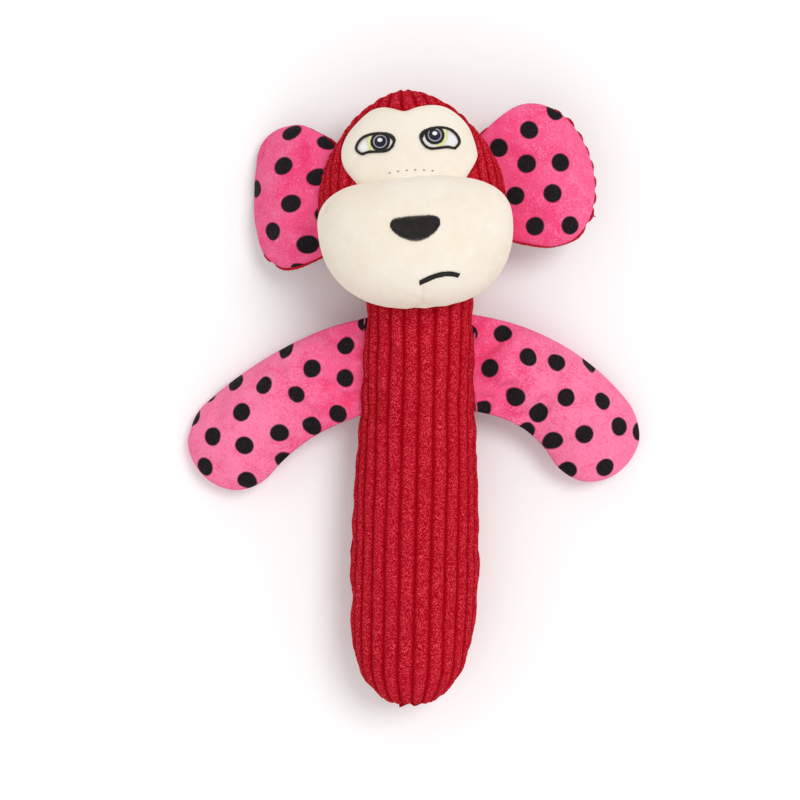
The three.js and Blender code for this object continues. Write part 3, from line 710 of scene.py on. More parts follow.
def headRib(co):
    depth = (co.z - head["centreZ"]) * head["half"] / head["depth"]
    radius = math.hypot(co.x, depth)
    turn = math.atan2(co.x, abs(depth))
    seam = radius * (math.pi / 2 - abs(turn))
    clear = smoothStep(0.2, head["seamWidth"], seam)
    rib = ribAt(radius * turn + 1.5, co.y, radius, 3.0 if depth > 0 else 9.0) * clear
    rib = lerp(corduroy["level"], rib, smoothStep(2, head["crownRadius"], radius))
    sink = head["seamSink"] * (1 - clear)
    if depth > 0:
        outside = smoothStep(0.97, 1.05, patchShare(co.x, co.y))
        rib *= outside
        sink += head["patchSink"] * (1 - outside)
    lip = smoothStep(head["socket"], head["socket"] + 6, co.length)
    return rib * lip, sink * lip


def hollowForNeck(mesh):
    # The neck's ball sits in a hollow under the head
    for vert in mesh.vertices:
        reach = head["socket"] ** 2 - vert.co.x ** 2 - vert.co.z ** 2
        if reach > 0:
            vert.co.y = max(vert.co.y, math.sqrt(reach))


def buildHead():
    bm = spun(headProfile(), head["columns"])
    for vert in bm.verts:
        vert.co.z = head["centreZ"] + vert.co.z * head["depth"] / head["half"]
    faceOut(bm)
    held = [v.index for v in bm.verts if abs(v.co.z - head["centreZ"]) < 0.1 or v.co.y < head["heldTo"]]
    mesh = fillCover(bm, held, head)
    smooth = surfaceOf(mesh)
    raiseRibs(mesh, headRib)
    calmPole(mesh, head["centreZ"], head["calmRadius"], lambda y: y > head["widest"])
    hollowForNeck(mesh)
    layFlat(mesh, -neckPivot.z)
    addPiece("headCover", mesh, redCorduroy, "corduroy_red",
             ["head_front_panel", "head_back_panel", "head_stuffing"], headPlace, "head")
    return smooth


def buildPatch(under):
    # Rings drawn in from the outline, laid on the head and given the cloth's thickness
    bm = bmesh.new()
    outer = bmesh.ops.create_circle(bm, segments=len(patchLine), radius=1)["verts"]
    for vert, place in zip(outer, patchLine):
        vert.co = (place.x, place.y, 0)
    edges = bm.edges[:]
    reached = 1.0
    centre = patch["centre"].to_3d()
    for share in patch["rings"]:
        made = bmesh.ops.extrude_edge_only(bm, edges=edges)["geom"]
        ring = [g for g in made if isinstance(g, bmesh.types.BMVert)]
        edges = [g for g in made if isinstance(g, bmesh.types.BMEdge) and all(v in ring for v in g.verts)]
        bmesh.ops.scale(bm, verts=ring, vec=Vector((1, 1, 1)) * (share / reached),
                        space=Matrix.Translation(-centre))
        reached = share
    bmesh.ops.pointmerge(bm, verts=ring, merge_co=centre)
    for vert in bm.verts:
        share = patchShare(vert.co.x, vert.co.y)
        rise = lerp(patch["rise"], -patch["tuck"], smoothStep(0.9, 1.0, share))
        vert.co.z = dropOnto(under, vert.co.x, vert.co.y).z + rise
    faceOut(bm)
    bmesh.ops.solidify(bm, geom=bm.faces[:], thickness=patch["thickness"])
    faceOut(bm)
    mesh = refined(bm, 1)
    top = surfaceOf(mesh)
    addPiece("facePatch", mesh, creamMinky, "minky_cream", ["face_patch"], headPlace, "head")
    return top


headSurface = buildHead()
patchSurface = buildPatch(headSurface)
print("head done")


# Muzzle

muzzle = {
    "half": 39.3,
    "height": 53.8,
    "centreX": 0.4,
    "lean": 1.5,             # the chin sits this much to the right, and the top to the left
    "centreY": 24.8,
    "centreZ": 33, "front": 28, "back": 20,
    "widest": 0.3,           # share of half the height above the middle
    "topSquareness": 2.5, "chinSquareness": 2.32, "depthSquareness": 2.2,
    "shrink": 1.2, "pressure": 1.5, "slack": 0.03, "cap": 2.4,
    "heldBelow": 3,          # the back is held, from this far behind the middle
    "filledAbove": 6,
    "neckRoom": 25.4, "headGap": 0.2,
    "dartX": 0.5, "dartTop": 7.5, "dartWidth": 0.9, "dartFade": 1.5, "dartSink": 0.6,
}


def superOval(t, squareness):
    return max(0.0, 1 - abs(t) ** squareness) ** (1 / squareness)


def buildMuzzle():
    bm = bmesh.new()
    bmesh.ops.create_uvsphere(bm, u_segments=56, v_segments=36, radius=1)
    for vert in bm.verts:
        t = vert.co.z
        ring = math.hypot(vert.co.x, vert.co.y)
        across = vert.co.x / ring if ring > 1e-6 else 0
        out = vert.co.y / ring if ring > 1e-6 else 0
        above = t - muzzle["widest"]
        if above > 0:
            width = superOval(above / (1 - muzzle["widest"]), muzzle["topSquareness"])
        else:
            width = superOval(above / (1 + muzzle["widest"]), muzzle["chinSquareness"])
        depth = superOval(t, muzzle["depthSquareness"]) * muzzle["front" if out > 0 else "back"]
        aside = muzzle["centreX"] - muzzle["lean"] * t * abs(t)
        vert.co = (aside + across * width * muzzle["half"], muzzle["centreY"] + t * muzzle["height"] / 2,
                   muzzle["centreZ"] + out * depth)
    faceOut(bm)
    held = []
    backZ = muzzle["centreZ"] - muzzle["heldBelow"]
    for vert in bm.verts:
        onDart = abs(vert.co.x - muzzle["dartX"]) < 1 and vert.co.y < muzzle["dartTop"]
        if vert.co.z < backZ or onDart:
            held.append(vert.index)
        bare = smoothStep(backZ, muzzle["centreZ"] + muzzle["filledAbove"], vert.co.z)
        vert.co -= vert.normal * muzzle["shrink"] * bare
    plump(bm, held, muzzle)
    mesh = refined(bm, 2)
    fade, dartTop = muzzle["dartFade"], muzzle["dartTop"]
    for vert in mesh.vertices:
        x, y, z = vert.co
        if z > muzzle["centreZ"]:
            groove = math.exp(-((x - muzzle["dartX"]) / muzzle["dartWidth"]) ** 2)
            run = smoothStep(dartTop + fade, dartTop - fade, y) * smoothStep(-fade, fade, y)
            vert.co -= vert.normal * muzzle["dartSink"] * groove * run
        under = headSurface.ray_cast(Vector((x, y, 300)), Vector((0, 0, -1)))[0]
        if under:
            vert.co.z = max(vert.co.z, under.z + muzzle["headGap"])
        room = muzzle["neckRoom"] ** 2 - x * x - max(0, y) ** 2
        if room > 0 and z < math.sqrt(room):
            vert.co.z = math.sqrt(room)
    top = surfaceOf(mesh)
    addPiece("muzzlePod", mesh, creamMinky, "minky_cream", ["muzzle_cover", "muzzle_stuffing"],
             headPlace, "head")
    return top


muzzleSurface = buildMuzzle()
print("muzzle done")


# Embroidery

needle = random.Random(11)
needlework = {
    "fillOverlap": 1.25,     # threads are this much wider than their spacing
    "lineOverlap": 1.5,
    "flatness": 0.8,
    "fine": 0.8,             # share of the spacing, for the irises
}


def layStitch(bm, start, end, surface, width, lift):
    # One thread over the cloth: a spindle bent to the surface under it
    path = end - start
    made = bmesh.ops.create_uvsphere(bm, u_segments=6, v_segments=6, radius=1)["verts"]
    for vert in made:
        foot, normal = surface.find_nearest(start + path * (vert.co.z + 1) / 2)[:2]
        side = normal.cross(path).normalized()
        fat = width / 2 * max(1e-6, 1 - vert.co.z ** 2) ** -0.25
        vert.co = foot + side * vert.co.x * fat + normal * (vert.co.y * fat * needlework["flatness"] + lift)


def sewDown(bm, start, end, surface, width, lift):
    # A thread between two places in the front view
    ends = [dropOnto(surface, place.x, place.y) for place in (start, end)]
    layStitch(bm, *ends, surface, width, lift)


def resampled(line, spacing):
    # Evenly spaced places along a line, with its direction at each
    places = []
    carry = 0.0
    for a, b in zip(line, line[1:]):
        run = (b - a).length
        at = carry
        while at < run:
            places.append((a + (b - a) * at / run, (b - a) / run))
            at += spacing
        carry = at - run
    return places


def crossings(outline, x):
    heights = []
    for a, b in zip(outline, outline[1:] + outline[:1]):
        if (a.x - x) * (b.x - x) < 0:
            heights.append(a.y + (b.y - a.y) * (x - a.x) / (b.x - a.x))
    return sorted(heights)


def satinFill(outline, surface, spacing, lift, ragged=0.0):
    # Upright threads side by side, from edge to edge of an outline
    bm = bmesh.new()
    x = min(p.x for p in outline) + spacing / 2
    while x < max(p.x for p in outline):
        heights = crossings(outline, x)
        for low, high in zip(heights[::2], heights[1::2]):
            start = Vector((x, low - ragged * needle.random()))
            end = Vector((x, high + ragged * needle.random()))
            sewDown(bm, start, end, surface, needlework["fillOverlap"] * spacing, lift)
        x += spacing
    return bm


def satinLine(line, surface, stroke, spacing, lift, slant=0.0, inside=None):
    # Short threads across a line; the stroke is a width, or a rule that gives one for each place
    bm = bmesh.new()
    for place, along in resampled(line, spacing):
        if inside and not isInside(inside, place):
            continue
        width = (stroke(place) if callable(stroke) else stroke) * (0.9 + 0.2 * needle.random())
        reach = Vector((-along.y, along.x)) * width / 2 + along * slant
        sewDown(bm, place - reach, place + reach, surface, needlework["lineOverlap"] * spacing, lift)
    return bm


def isInside(outline, place):
    return sum(height > place.y for height in crossings(outline, place.x)) % 2 == 1


def addEmbroidery(name, bm, material, slot, nodes):
    addPiece(name, asMesh(bm, name), material, slot, nodes, headPlace, "head")


def scaledOutline(points, width, height, centre, mirror=1):
    corners = [Vector((centre.x + mirror * x * width / 2, centre.y + y * height / 2)) for x, y in points]
    return smoothLine(corners, 4, True)


nose = {
    "width": 19.8,
    "height": 10.4,
    "centre": Vector((0, 28.7)),
    "outline": [(-0.88, 0.82), (-0.5, 0.97), (0.1, 1), (0.65, 0.96), (0.95, 0.72), (1, 0.25), (0.8, -0.35),
                (0.42, -0.83), (0, -1), (-0.42, -0.8), (-0.8, -0.32), (-1, 0.3)],
    "thread": 0.42, "lift": 0.35, "ragged": 0.25,
}
mouth = {
    "left": 0.3, "low": 7.5, "width": 15.7, "rise": 2.65,
    "line": [(0, 0), (0.13, 0.28), (0.28, 0.59), (0.43, 0.84), (0.6, 0.98), (0.75, 0.99), (0.88, 0.86),
             (1, 0.63)],
    "stroke": 2, "thread": 0.42, "lift": 0.25, "slant": 0.3,
}
eyes = {
    "width": 15.8,
    "left": {"centre": Vector((-13.5, 66.1)), "height": 8.5, "irisLift": 0.5},
    "right": {"centre": Vector((12.8, 66.2)), "height": 9.6, "irisLift": 1.5},
    "outline": [(0.73, -0.9), (0.97, -0.48), (0.96, -0.05), (0.82, 0.39), (0.6, 0.73), (0.31, 0.91),
                (-0.03, 0.97), (-0.43, 0.84), (-0.78, 0.63), (-0.97, 0.22), (-0.93, -0.21), (-0.75, -0.66),
                (-0.48, -0.87), (-0.1, -0.85), (0.33, -0.79), (0.55, -0.86)],
    "stroke": 1.15,
    "lidStroke": 1.9,        # the upper lid towards the nose is heavier
    "thread": 0.4,
    "slant": 0.12,
    "irisInset": 2.1, "irisRadius": 4, "stripWidth": 1.5,
    "glintAbove": 0.5,       # from the iris's middle
    "glintRadius": 0.95,
    "lift": {"white": 0.05, "strip": 0.2, "outline": 0.45, "glint": 0.75},
}
irisRings = [
    # name, thread, slot, radius of its middle, stroke, height over the cloth
    ("Outer", blackThread, "thread_black", 3.4, 1.3, 0.4),
    ("Pale", greyThread, "thread_white", 2.6, 0.4, 0.5),
    ("Navy", navyThread, "thread_black", 1.75, 1.4, 0.45),
    ("Pupil", blackThread, "thread_black", 0.7, 1.2, 0.45),
]
seamMarks = {
    "from": Vector((-8.6, 53.3)),
    "to": Vector((8.8, 52.9)),
    "count": 6, "arch": 0.7, "length": 0.9, "thread": 0.5, "lift": 0.1,
}


def buildNose():
    outline = scaledOutline(nose["outline"], nose["width"], nose["height"], nose["centre"])
    bm = satinFill(outline, muzzleSurface, nose["thread"], nose["lift"], nose["ragged"])
    addEmbroidery("noseStitching", bm, blackThread, "thread_black", ["nose"])


def buildMouth():
    start = Vector((mouth["left"], mouth["low"]))
    corners = [start + Vector((x * mouth["width"], y * mouth["rise"])) for x, y in mouth["line"]]
    bm = satinLine(smoothLine(corners, 6), muzzleSurface, mouth["stroke"], mouth["thread"], mouth["lift"],
                   mouth["slant"])
    addEmbroidery("mouthStitching", bm, blackThread, "thread_black", ["mouth_stitch"])


def circleLine(centre, radius):
    turns = [2 * math.pi * i / 48 for i in range(49)]
    return [centre + Vector((math.cos(turn), math.sin(turn))) * radius for turn in turns]


def buildEye(side, mirror):
    eye = eyes[side]
    centre, height = eye["centre"], eye["height"]
    thread, lift = eyes["thread"], eyes["lift"]
    fine = thread * needlework["fine"]
    outline = scaledOutline(eyes["outline"], eyes["width"], height, centre, mirror)
    shrink = 1 - eyes["stroke"] / height
    field = [centre + (p - centre) * shrink for p in outline]
    iris = centre + Vector((-mirror * eyes["irisInset"], eye["irisLift"]))

    white = satinFill(field, patchSurface, thread, lift["white"])
    addEmbroidery(side + "EyeWhite", white, whiteThread, "thread_white", [side + "_eye_white"])

    ring = circleLine(iris, eyes["irisRadius"] + eyes["stripWidth"] / 2)
    band = sorted((p for p in ring if mirror * (p.x - iris.x) > 0), key=lambda p: p.y)
    strip = satinLine(band, patchSurface, eyes["stripWidth"], thread, lift["strip"], 0, field)
    addEmbroidery(side + "EyeStrip", strip, limeThread, "thread_white", [])

    for name, colour, slot, radius, stroke, above in irisRings:
        bm = satinLine(circleLine(iris, radius), patchSurface, stroke, fine, above, 0, field)
        nodes = [side + "_eye_iris"] if name == "Outer" else []
        addEmbroidery(side + "Iris" + name, bm, colour, slot, nodes)

    spot = circleLine(iris + Vector((0, eyes["glintAbove"])), eyes["glintRadius"])
    glint = satinFill(spot[:-1], patchSurface, fine, lift["glint"])
    addEmbroidery(side + "EyeGlint", glint, whiteThread, "thread_white", [])

    def lidStroke(place):
        towardNose = smoothStep(-0.1, 0.5, -mirror * (place.x - centre.x) / eyes["width"] * 2)
        upper = smoothStep(-0.1, 0.4, (place.y - centre.y) / height * 2)
        return lerp(eyes["stroke"], eyes["lidStroke"], towardNose * upper)

    line = satinLine(outline + outline[:1], patchSurface, lidStroke, thread, lift["outline"], eyes["slant"])
    addEmbroidery(side + "EyeOutline", line, blackThread, "thread_black", [side + "_eye_outline"])


def buildSeamMarks():
    # Where the muzzle's top seam shows its stitches
    bm = bmesh.new()
    length = seamMarks["length"]
    for i in range(seamMarks["count"]):
        share = i / (seamMarks["count"] - 1)
        place = seamMarks["from"].lerp(seamMarks["to"], share)
        place.y += seamMarks["arch"] * 4 * share * (1 - share)
        reach = Vector((length / 2, length * (needle.random() - 0.5) / 2))
        sewDown(bm, place - reach, place + reach, patchSurface, seamMarks["thread"], seamMarks["lift"])
    addEmbroidery("muzzleSeamMarks", bm, tanThread, "thread_black", [])


sides = (("left", -1), ("right", 1))
buildNose()
buildMouth()
for side, mirror in sides:
    buildEye(side, mirror)
buildSeamMarks()
print("face done")


# Ears and arms: two flat panels sewn round the edge, then filled

def limbPlace(joint, mirror, droop):
    # The limb's own frame: x along the hinge's outward side, y along the hinge, z up from its front
    along = Vector(joint["axis"])
    outward = along.cross(Vector((0, 0, 1)))
    turned = Matrix((outward, along, outward.cross(along))).transposed().to_4x4()
    hang = Matrix.Rotation(math.radians(mirror * droop), 4, along)
    return Matrix.Translation(Vector(joint["pos_m"]) / mm) @ hang @ turned


def sewnPanels(limb, rowAt, tipAt, mirror):
    # A grid whose rows follow the limb and whose far end is drawn round, doubled and sewn at the edge
    rows, tipRows, columns = limb["rows"], limb["tipRows"], limb["columns"]
    bm = bmesh.new()
    bmesh.ops.create_grid(bm, x_segments=rows + tipRows, y_segments=columns, size=1)
    flatX = bm.verts.layers.float.new("flatX")
    flatY = bm.verts.layers.float.new("flatY")
    for vert in bm.verts:
        step = (vert.co.x + 1) / 2 * (rows + tipRows)
        across = vert.co.y
        if step <= rows:
            place, rim = rowAt(step / rows, across), abs(across)
        else:
            beyond = (step - rows) / tipRows
            out = beyond * math.sqrt(1 - across * across / 2)
            wide = across * math.sqrt(1 - beyond * beyond / 2)
            place, rim = tipAt(out, wide), math.hypot(out, wide)
        grow = smoothStep(0, limb["swellOver"], place.x)
        depth = lerp(limb["rootDepth"], limb["startDepth"], grow)
        edge = math.sqrt(max(0, 1 - rim * rim))
        vert[flatX], vert[flatY] = place.x, place.y
        vert.co = (mirror * place.x, place.y, depth * edge if rim < 0.999 else 0)
    twin = bmesh.ops.duplicate(bm, geom=bm.verts[:] + bm.edges[:] + bm.faces[:])["geom"]
    bmesh.ops.scale(bm, verts=[g for g in twin if isinstance(g, bmesh.types.BMVert)], vec=(1, 1, -1))
    bmesh.ops.remove_doubles(bm, verts=bm.verts, dist=0.02)
    faceOut(bm)
    if bm.calc_volume(signed=True) < 0:
        bmesh.ops.reverse_faces(bm, faces=bm.faces)
        bm.normal_update()
    return bm


def creaseRim(bm):
    # The sewn edge stays sharp when the form is refined
    sharp = bm.edges.layers.float.new("crease_edge")
    for edge in bm.edges:
        if all(abs(vert.co.z) < 0.01 for vert in edge.verts):
            edge[sharp] = 0.9


creaseLimit = 0.7        # share of the filling's height that a fold may take


def flatOf(mesh):
    # Where each point lies on the flat cloth
    return mesh.attributes["flatX"].data, mesh.attributes["flatY"].data


def pressCreases(mesh, creases, depth, width):
    # Soft folds pressed into the front along a few lines, given on the flat cloth
    flatX, flatY = flatOf(mesh)
    normals = [vert.normal.copy() for vert in mesh.vertices]
    for vert, normal in zip(mesh.vertices, normals):
        if vert.co.z <= 0:
            continue
        flat = Vector((flatX[vert.index].value, flatY[vert.index].value))
        press = 0
        for start, end in creases:
            start, end = Vector(start), Vector(end)
            near, share = geometry.intersect_point_line(flat, start, end)
            if not 0 <= share <= 1:
                near = start if share < 0 else end
            away = (flat - near.to_2d()).length / width
            press += depth * math.exp(-away * away)
        vert.co -= normal * min(press * smoothStep(0, 2, vert.co.z), creaseLimit * vert.co.z)


def paintLimbShading(mesh, napAndShade):
    # Painted shade and light: the cloth is painted darker near the root, where it meets the body, and paler
    # towards the far end
    keep = newValue(mesh, "limbShading")
    for here, flat in zip(keep, flatOf(mesh)[0]):
        here.value = lerp(napAndShade["root"], napAndShade["far"], smoothStep(0, napAndShade["over"], flat.value))


def fillLimb(bm, limb, mirror, creases):
    # The root and the sewn edge are held while the limb is filled
    held = [v.index for v in bm.verts if mirror * v.co.x < limb["heldTo"] or abs(v.co.z) < 0.01]
    creaseRim(bm)
    plump(bm, held, limb)
    mesh = refined(bm, 2)
    pressCreases(mesh, creases, limb["creaseDepth"], limb["creaseWidth"])
    paintLimbShading(mesh, limb["napAndShade"])
    return mesh


def printDots(mesh, panels, stretch=1):
    # Each point's distance from the nearest printed dot of its own panel, along the flat cloth
    keep = newValue(mesh, "dotDistance")
    for here, flatX, flatY, dots in zip(keep, *flatOf(mesh), panels):
        across, up = flatX.value, flatY.value
        here.value = min(math.hypot((across - x) / stretch, up - y) for x, y in dots)


def meetCover(mesh, limb, mirror, place, surface, bodyPlace):
    # The root is drawn in to the body all along its seam, and its cloth is cut longer there
    toBody = bodyPlace.inverted() @ place
    toLimb = toBody.inverted()
    flatX, flatY = flatOf(mesh)
    for vert in mesh.vertices:
        free = smoothStep(-limb["rootInside"], limb["drawnOver"], mirror * vert.co.x)
        root = toBody @ Vector((-mirror * limb["rootInside"], vert.co.y, 0))
        near, normal = surface.find_nearest(root)[:2]
        goal = near - normal * limb["rootInside"]
        if free < 1 and (root - goal).dot(normal) > 0:
            shift = (toLimb @ goal - toLimb @ root) * (1 - free)
            vert.co += shift
            flatX[vert.index].value += mirror * shift.x
            flatY[vert.index].value += shift.y


def bendAtRoot(cover, place, reach):
    start, end = (place @ Vector((x, 0, 0)) * mm for x in (0, reach))
    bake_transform(cover)
    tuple(start)
    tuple(end)


arms = {
    "rows": 20, "tipRows": 9, "columns": 18,
    "rootWidth": 41, "waistWidth": 39.4, "handWidth": 42,
    "rootDepth": 1.4, "startDepth": 7, "swellOver": 34, "rootInside": 3.4,
    "drawnOver": 9,          # the root is drawn in to the torso over this much of the arm
    "pressure": 3.5, "slack": 0.06, "cap": 4.5,
    "heldTo": 1,
    # painted shade along the arm, darkest at the root
    "napAndShade": {"root": 0.15, "far": 0.75, "over": 40},
    "squareTo": 0.3,         # share of the length over which the rows turn to the arm's direction
    "backShift": (6, -5),    # of the print on the back
    "floorGap": 0.2,
    "bendOver": 12,
    "creases": [((-2, -4), (12, -10.5)), ((2, -18), (14, -9)), ((0, 4), (9, 10)), ((18, -23), (27, -15)),
                ((27, -18), (34, -4)), ((0, 12), (8, 15)), ((0, -13), (5, -14))],
    "creaseDepth": 1.6, "creaseWidth": 2.4,
    "left": {
        "rootLift": 0, "droop": 14.86,
        "elbow": Vector((30.4, -10.2)),
        "hand": Vector((52.8, -35.6)),
        "dots": [(7, 7.3), (6, -6.5), (19.7, -3.7), (25.5, -14.8), (39.3, -12), (47.6, -23.5), (59.3, -34),
                 (45.6, -36.8), (31.8, -31.2), (19, -27.5), (8.5, -21.5), (33, 4.3), (54, -11), (63, -46.5),
                 (45.6, -51.7), (30.4, -43), (67, -16.6), (71.7, -27.2), (-1, 17.2)],
    },
    "right": {
        "rootLift": 1.8, "droop": 15.27,
        "elbow": Vector((32.4, -3.2)),
        "hand": Vector((50.4, -29)),
        "dots": [(12, 13.5), (5.6, -1), (21.3, 2.7), (33.2, 0.1), (16, -13.6), (36.2, -14.4), (52.4, -16),
                 (25.3, -21), (31.7, -32.2), (43.7, -29.3), (59.2, -26.7), (38.5, -44.8), (53.6, -43),
                 (2.4, -18.2), (21, -28.3), (50.3, 0.2), (69.5, -29.2), (-2.7, 13.7)],
    },
}


def buildArm(side, mirror):
    arm = arms[side]
    root = Vector((-arms["rootInside"], arm["rootLift"]))
    hand = arm["hand"]

    def spine(share):
        return root * (1 - share) ** 2 + arm["elbow"] * 2 * share * (1 - share) + hand * share * share

    def heading(share):
        return ((arm["elbow"] - root) * (1 - share) + (hand - arm["elbow"]) * share).normalized()

    def rowAt(share, across):
        waist = 4 * share * (1 - share) * (arms["waistWidth"] - (arms["rootWidth"] + arms["handWidth"]) / 2)
        half = (lerp(arms["rootWidth"], arms["handWidth"], share) + waist) / 2
        along = heading(share)
        turned = smoothStep(0, arms["squareTo"], share)
        upright = Vector((0, 1)).lerp(Vector((-along.y, along.x)), turned).normalized()
        return spine(share) + upright * across * half

    def tipAt(out, wide):
        along = heading(1)
        return hand + (along * out + Vector((-along.y, along.x)) * wide) * arms["handWidth"] / 2

    mesh = fillLimb(sewnPanels(arms, rowAt, tipAt, mirror), arms, mirror, arms["creases"])
    place = limbPlace(joints[side + "_arm_flap"], mirror, arm["droop"])
    shiftX, shiftY = arms["backShift"]
    backDots = [(x + shiftX, y + shiftY) for x, y in arm["dots"]]
    panels = [arm["dots"] if vert.co.z > -0.05 else backDots for vert in mesh.vertices]
    meetCover(mesh, arms, mirror, place, torsoSurface, torsoPlace)
    printDots(mesh, panels)
    mesh.transform(place)
    layFlat(mesh, arms["floorGap"])
    cover = addPiece(side + "Arm", mesh, pinkMinky, "minky_pink",
                     [side + "_arm_front_panel", side + "_arm_back_panel", side + "_arm_stuffing"])
    bendAtRoot(cover, place, mirror * arms["bendOver"])


for side, mirror in sides:
    buildArm(side, mirror)
print("arms done")


ears = {
    "rows": 9, "tipRows": 11, "columns": 20,
    "reach": 38, "half": 30.5, "bulge": 16,
    "rootDepth": 1.3, "startDepth": 3.6, "swellOver": 16, "rootInside": 2.2,
    "creaseDepth": 0.8, "creaseWidth": 3,
    "tuck": 0.8,             # the corduroy lies this far inside the front's edge
    "scallop": 0.9,          # and its ribs stand out by this much more where they show
    "pressure": 2.2, "slack": 0.04, "cap": 3,
    "heldTo": 1.6,
    # painted shade along the ear, darkest at the root
    "napAndShade": {"root": 0.05, "far": 0.3, "over": 20},
    "bendOver": 8,
    "drawnOver": 12,         # the root is drawn in to the head over this much of the ear
    "wall": 1.1,
    "stitches": 12,
    "stitchShare": 0.7,      # of the space for each
    "stitchLift": 0.3,
    "thread": 0.8,
    "left": {
        "droop": 43, "turn": 10, "drop": -1,
        "rootTaper": 0.57,
        "upperTaper": 0.78,  # the upper corner of the root is rounded off
        "upperCorner": 3,
        "scallopFrom": -130, "scallopTo": -60,
        "creases": [((-1, 24), (9, 6)), ((0, -6), (12, -12))],
        "stretch": 1.25,     # the print is pulled outward
        "dots": [(13.7, 27), (15.2, 12.6), (0.2, 7.2), (34, 5.9), (11, -3.3), (21.2, -13.6), (4.5, -20.4),
                 (11, -31.4), (-2.5, 22.5), (-3.5, -8.5)],
    },
    "right": {
        "droop": 10, "turn": 1, "drop": 1.6,
        "rootTaper": 0.82,
        "upperTaper": 0.82,
        "upperCorner": 2,
        "scallopFrom": -120, "scallopTo": 50,
        "creases": [((0, 15), (16, -2)), ((0, -14), (10, -19))],
        "stretch": 1,
        "dots": [(14.8, 16.8), (9.9, 4), (23.2, 0.8), (16.7, -10.3), (6.7, -21.2), (20.7, -24.6), (2.2, -7.3),
                 (1, 13.6), (28, 22)],
    },
}


def earRib(co):
    # Ribs run out from the head and stand only outward from the ear
    rib = ribAt(co.y, co.x, corduroy["wideRadius"], 5.0)
    return rib, -corduroy["level"] * corduroy["depth"]


def scallopEdge(mesh, ear):
    # On one side of the ear the ribs' ends show beyond the front panel's edge
    outward = ears["reach"] - ears["bulge"]
    ribs = mesh.attributes["rib"].data
    for vert in mesh.vertices:
        out = Vector((abs(vert.co.x) - ears["bulge"], vert.co.y + ear["drop"]))
        rim = math.hypot(out.x / outward * (1 if out.x > 0 else ear["rootTaper"]), out.y / ears["half"])
        turn = math.degrees(math.atan2(out.y, out.x))
        shown = smoothStep(ear["scallopFrom"] - 15, ear["scallopFrom"], turn)
        shown *= smoothStep(ear["scallopTo"] + 15, ear["scallopTo"], turn)
        push = ears["scallop"] * (0.3 + 0.7 * ribs[vert.index].value) * shown - ears["tuck"]
        away = Vector((math.copysign(1, vert.co.x) * out.x, out.y, 0)).normalized()
        vert.co += away * push * smoothStep(0.88, 1, rim) * smoothStep(0, 6, abs(vert.co.x))


def keepSide(mesh, front):
    # One panel of the pillow
    bm = bmesh.new()
    bm.from_mesh(mesh)
    away = [f for f in bm.faces if (f.calc_center_median().z > 0) != front]
    bmesh.ops.delete(bm, geom=away, context="FACES")
    return asMesh(bm, "panel")


def sewEar(side, place):
    # Stitches along the ear's hinge, laid on the head
    low, high = boxOf(side + "_ear_seam_thread")
    length = (high - low).length
    toHead = headPlace.inverted() @ place
    bm = bmesh.new()
    for i in range(ears["stitches"]):
        ends = []
        for step in (i, i + ears["stitchShare"]):
            hinge = toHead @ Vector((0, length * (step / ears["stitches"] - 0.5), 0))
            ends.append(headSurface.find_nearest(hinge)[0])
        layStitch(bm, *ends, headSurface, ears["thread"], ears["stitchLift"])
    addEmbroidery(side + "EarSeam", bm, redThread, "thread_red", [side + "_ear_seam_thread"])


earPanels = {
    "Front": (pinkMinky, "minky_pink", ["_ear_front_panel", "_ear_stuffing"]),
    "Back": (redCorduroy, "corduroy_red", ["_ear_back_panel"]),
}


def buildEar(side, mirror):
    ear = ears[side]
    turn = Matrix.Rotation(-mirror * math.radians(ear["turn"]), 4, "Z")

    def rowAt(share, across):
        out = lerp(-ears["rootInside"], ears["bulge"], share)
        taper = ear["upperTaper"] if across > 0 else ear["rootTaper"]
        narrowing = (out - ears["bulge"]) / (ears["reach"] - ears["bulge"]) * taper
        return Vector((out, across * superOval(narrowing, 2) * ears["half"] - ear["drop"]))

    def tipAt(out, wide):
        corner = ear["upperCorner"] if wide > 0 else 2
        squared = math.hypot(out, wide) / max(1e-6, (out ** corner + abs(wide) ** corner) ** (1 / corner))
        out, wide = out * squared, wide * squared
        return Vector((lerp(ears["bulge"], ears["reach"], out), wide * ears["half"] - ear["drop"]))

    mesh = fillLimb(sewnPanels(ears, rowAt, tipAt, mirror), ears, mirror, ear["creases"])
    hung = limbPlace(joints[side + "_ear_flap"], mirror, ear["droop"])
    sewEar(side, hung)
    place = hung @ turn
    for name, (material, slot, nodes) in earPanels.items():
        panel = keepSide(mesh, name == "Front")
        if name == "Back":
            raiseRibs(panel, earRib)
            scallopEdge(panel, ear)
        meetCover(panel, ears, mirror, place, headSurface, headPlace)
        if name == "Front":
            printDots(panel, [ear["dots"]] * len(panel.vertices), ear["stretch"])
        panel.transform(place)
        replaced = [side + node for node in nodes]
        cover = addPiece(side + "Ear" + name, panel, material, slot, replaced)
        wall = cover.modifiers.new("clothThickness", "SOLIDIFY")
        wall.thickness = ears["wall"] * mm
        wall.offset = -1
        bendAtRoot(cover, place, mirror * ears["bendOver"])


for side, mirror in sides:
    buildEar(side, mirror)
print("ears done")


# Squeaker and threads inside

finishes = (
    (squeakerPlastic, ("squeaker_base", "squeaker_cap", "reed_barrel", "reed_shallot")),
    (reedFilm, ("reed",)),
    (redThread, ("neck_gather_thread", "neck_seam_thread")),
    (pinkThread, ("left_arm_seam_thread", "right_arm_seam_thread")),
)
for material, names in finishes:
    for name in names:
        slots = frame["nodes"][name].data.materials
        slots.clear()
        slots.append(material)

bellows = {
    "folds": 3, "foldDepth": 4, "wall": 1.2, "columns": 48,
    "travel": joints["squeaker_squeeze"]["range_m"][1] / mm,
}


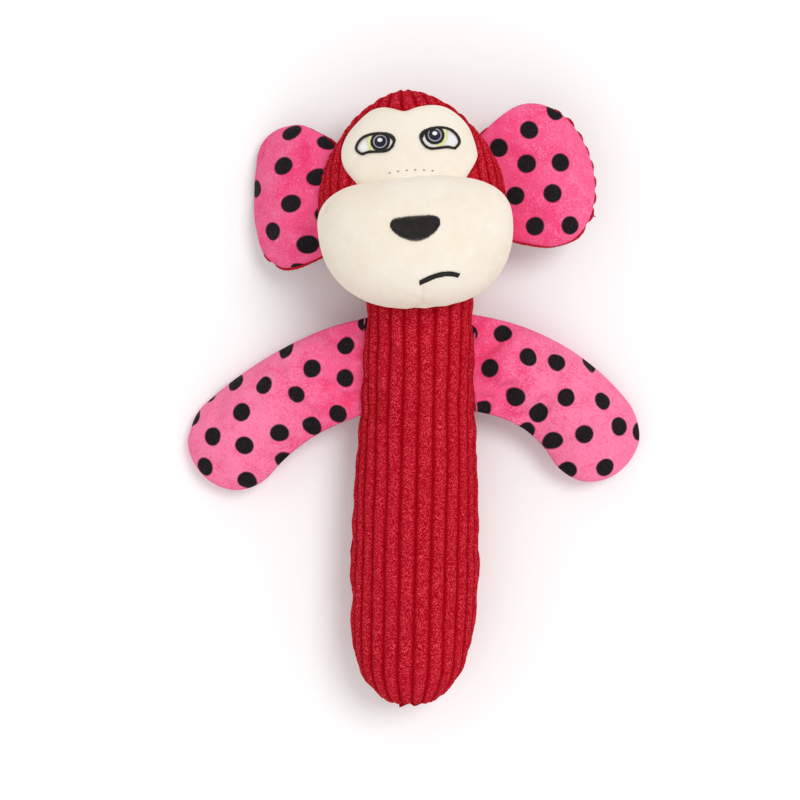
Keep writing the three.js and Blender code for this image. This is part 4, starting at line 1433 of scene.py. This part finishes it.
def buildBellows():
    low, high = boxOf("squeaker_bellows")
    pleats = 2 * bellows["folds"]
    outer = []
    for i in range(pleats + 1):
        outer.append(Vector((high.x - (i % 2) * bellows["foldDepth"], lerp(low.z, high.z, i / pleats))))
    bm = spun(smoothLine(outer, 5), bellows["columns"], Vector((0, 0, 1)))
    bmesh.ops.solidify(bm, geom=bm.faces[:], thickness=bellows["wall"])
    faceOut(bm)
    mesh = asMesh(bm, "bellows")
    piece = addPiece("squeakerBellows", mesh, squeakerVinyl, "squeaker_vinyl", ["squeaker_bellows"],
                     body="torso")
    1 - bellows["travel"] / (high.z - low.z)
    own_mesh(piece)


pad = {
    "under": 0.5,
    "settle": 1.2,           # it lies this much lower than the space over the squeaker
    "lump": 0.6, "lumpSize": 6,
}


def buildPad():
    # A loose wad of filling on the squeaker's cap
    low, high = boxOf("squeaker_pad")
    middle, size = (low + high) / 2, (high - low) / 2
    bm = bmesh.new()
    bmesh.ops.create_uvsphere(bm, u_segments=32, v_segments=16, radius=1)
    for vert in bm.verts:
        x, y, z = vert.co
        rise = max(0, z) * (high.z - low.z - pad["settle"]) + min(0, z) * pad["under"]
        vert.co = Vector((middle.x + x * size.x, middle.y + y * size.y, low.z + pad["under"] + rise))
        lump = pad["lump"] * (noise.noise(vert.co / pad["lumpSize"]) - 1)
        vert.co += (vert.co - middle).normalized() * lump
    mesh = refined(bm, 1)
    addPiece("squeakerPad", mesh, fibreFill, "fibre_fill", ["squeaker_pad"], body="squeaker_press")


closing = {
    "fromY": -52, "toY": -28, "stitches": 9, "spread": 2.4, "slant": 1.2,
    "thread": 0.8, "lift": 0.1,
}


def buildClosingStitch():
    # Hand stitches that close the left side seam after filling
    surface = surfaceOf(torsoCover.data, mm)
    bm = bmesh.new()
    for i in range(closing["stitches"]):
        y = lerp(closing["fromY"], closing["toY"], i / (closing["stitches"] - 1))
        ends = []
        for side in (-0.5, 0.5):
            start = Vector((-200, y + side * closing["slant"], neckPivot.z + side * closing["spread"]))
            ends.append(surface.ray_cast(start, Vector((1, 0, 0)))[0])
        layStitch(bm, *ends, surface, closing["thread"], closing["lift"])
    piece = addPiece("closingStitch", asMesh(bm, "closing"), redThread, "thread_red", ["closing_stitch"])
    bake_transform(piece)


buildBellows()
buildPad()
buildClosingStitch()
print("squeaker and threads done")
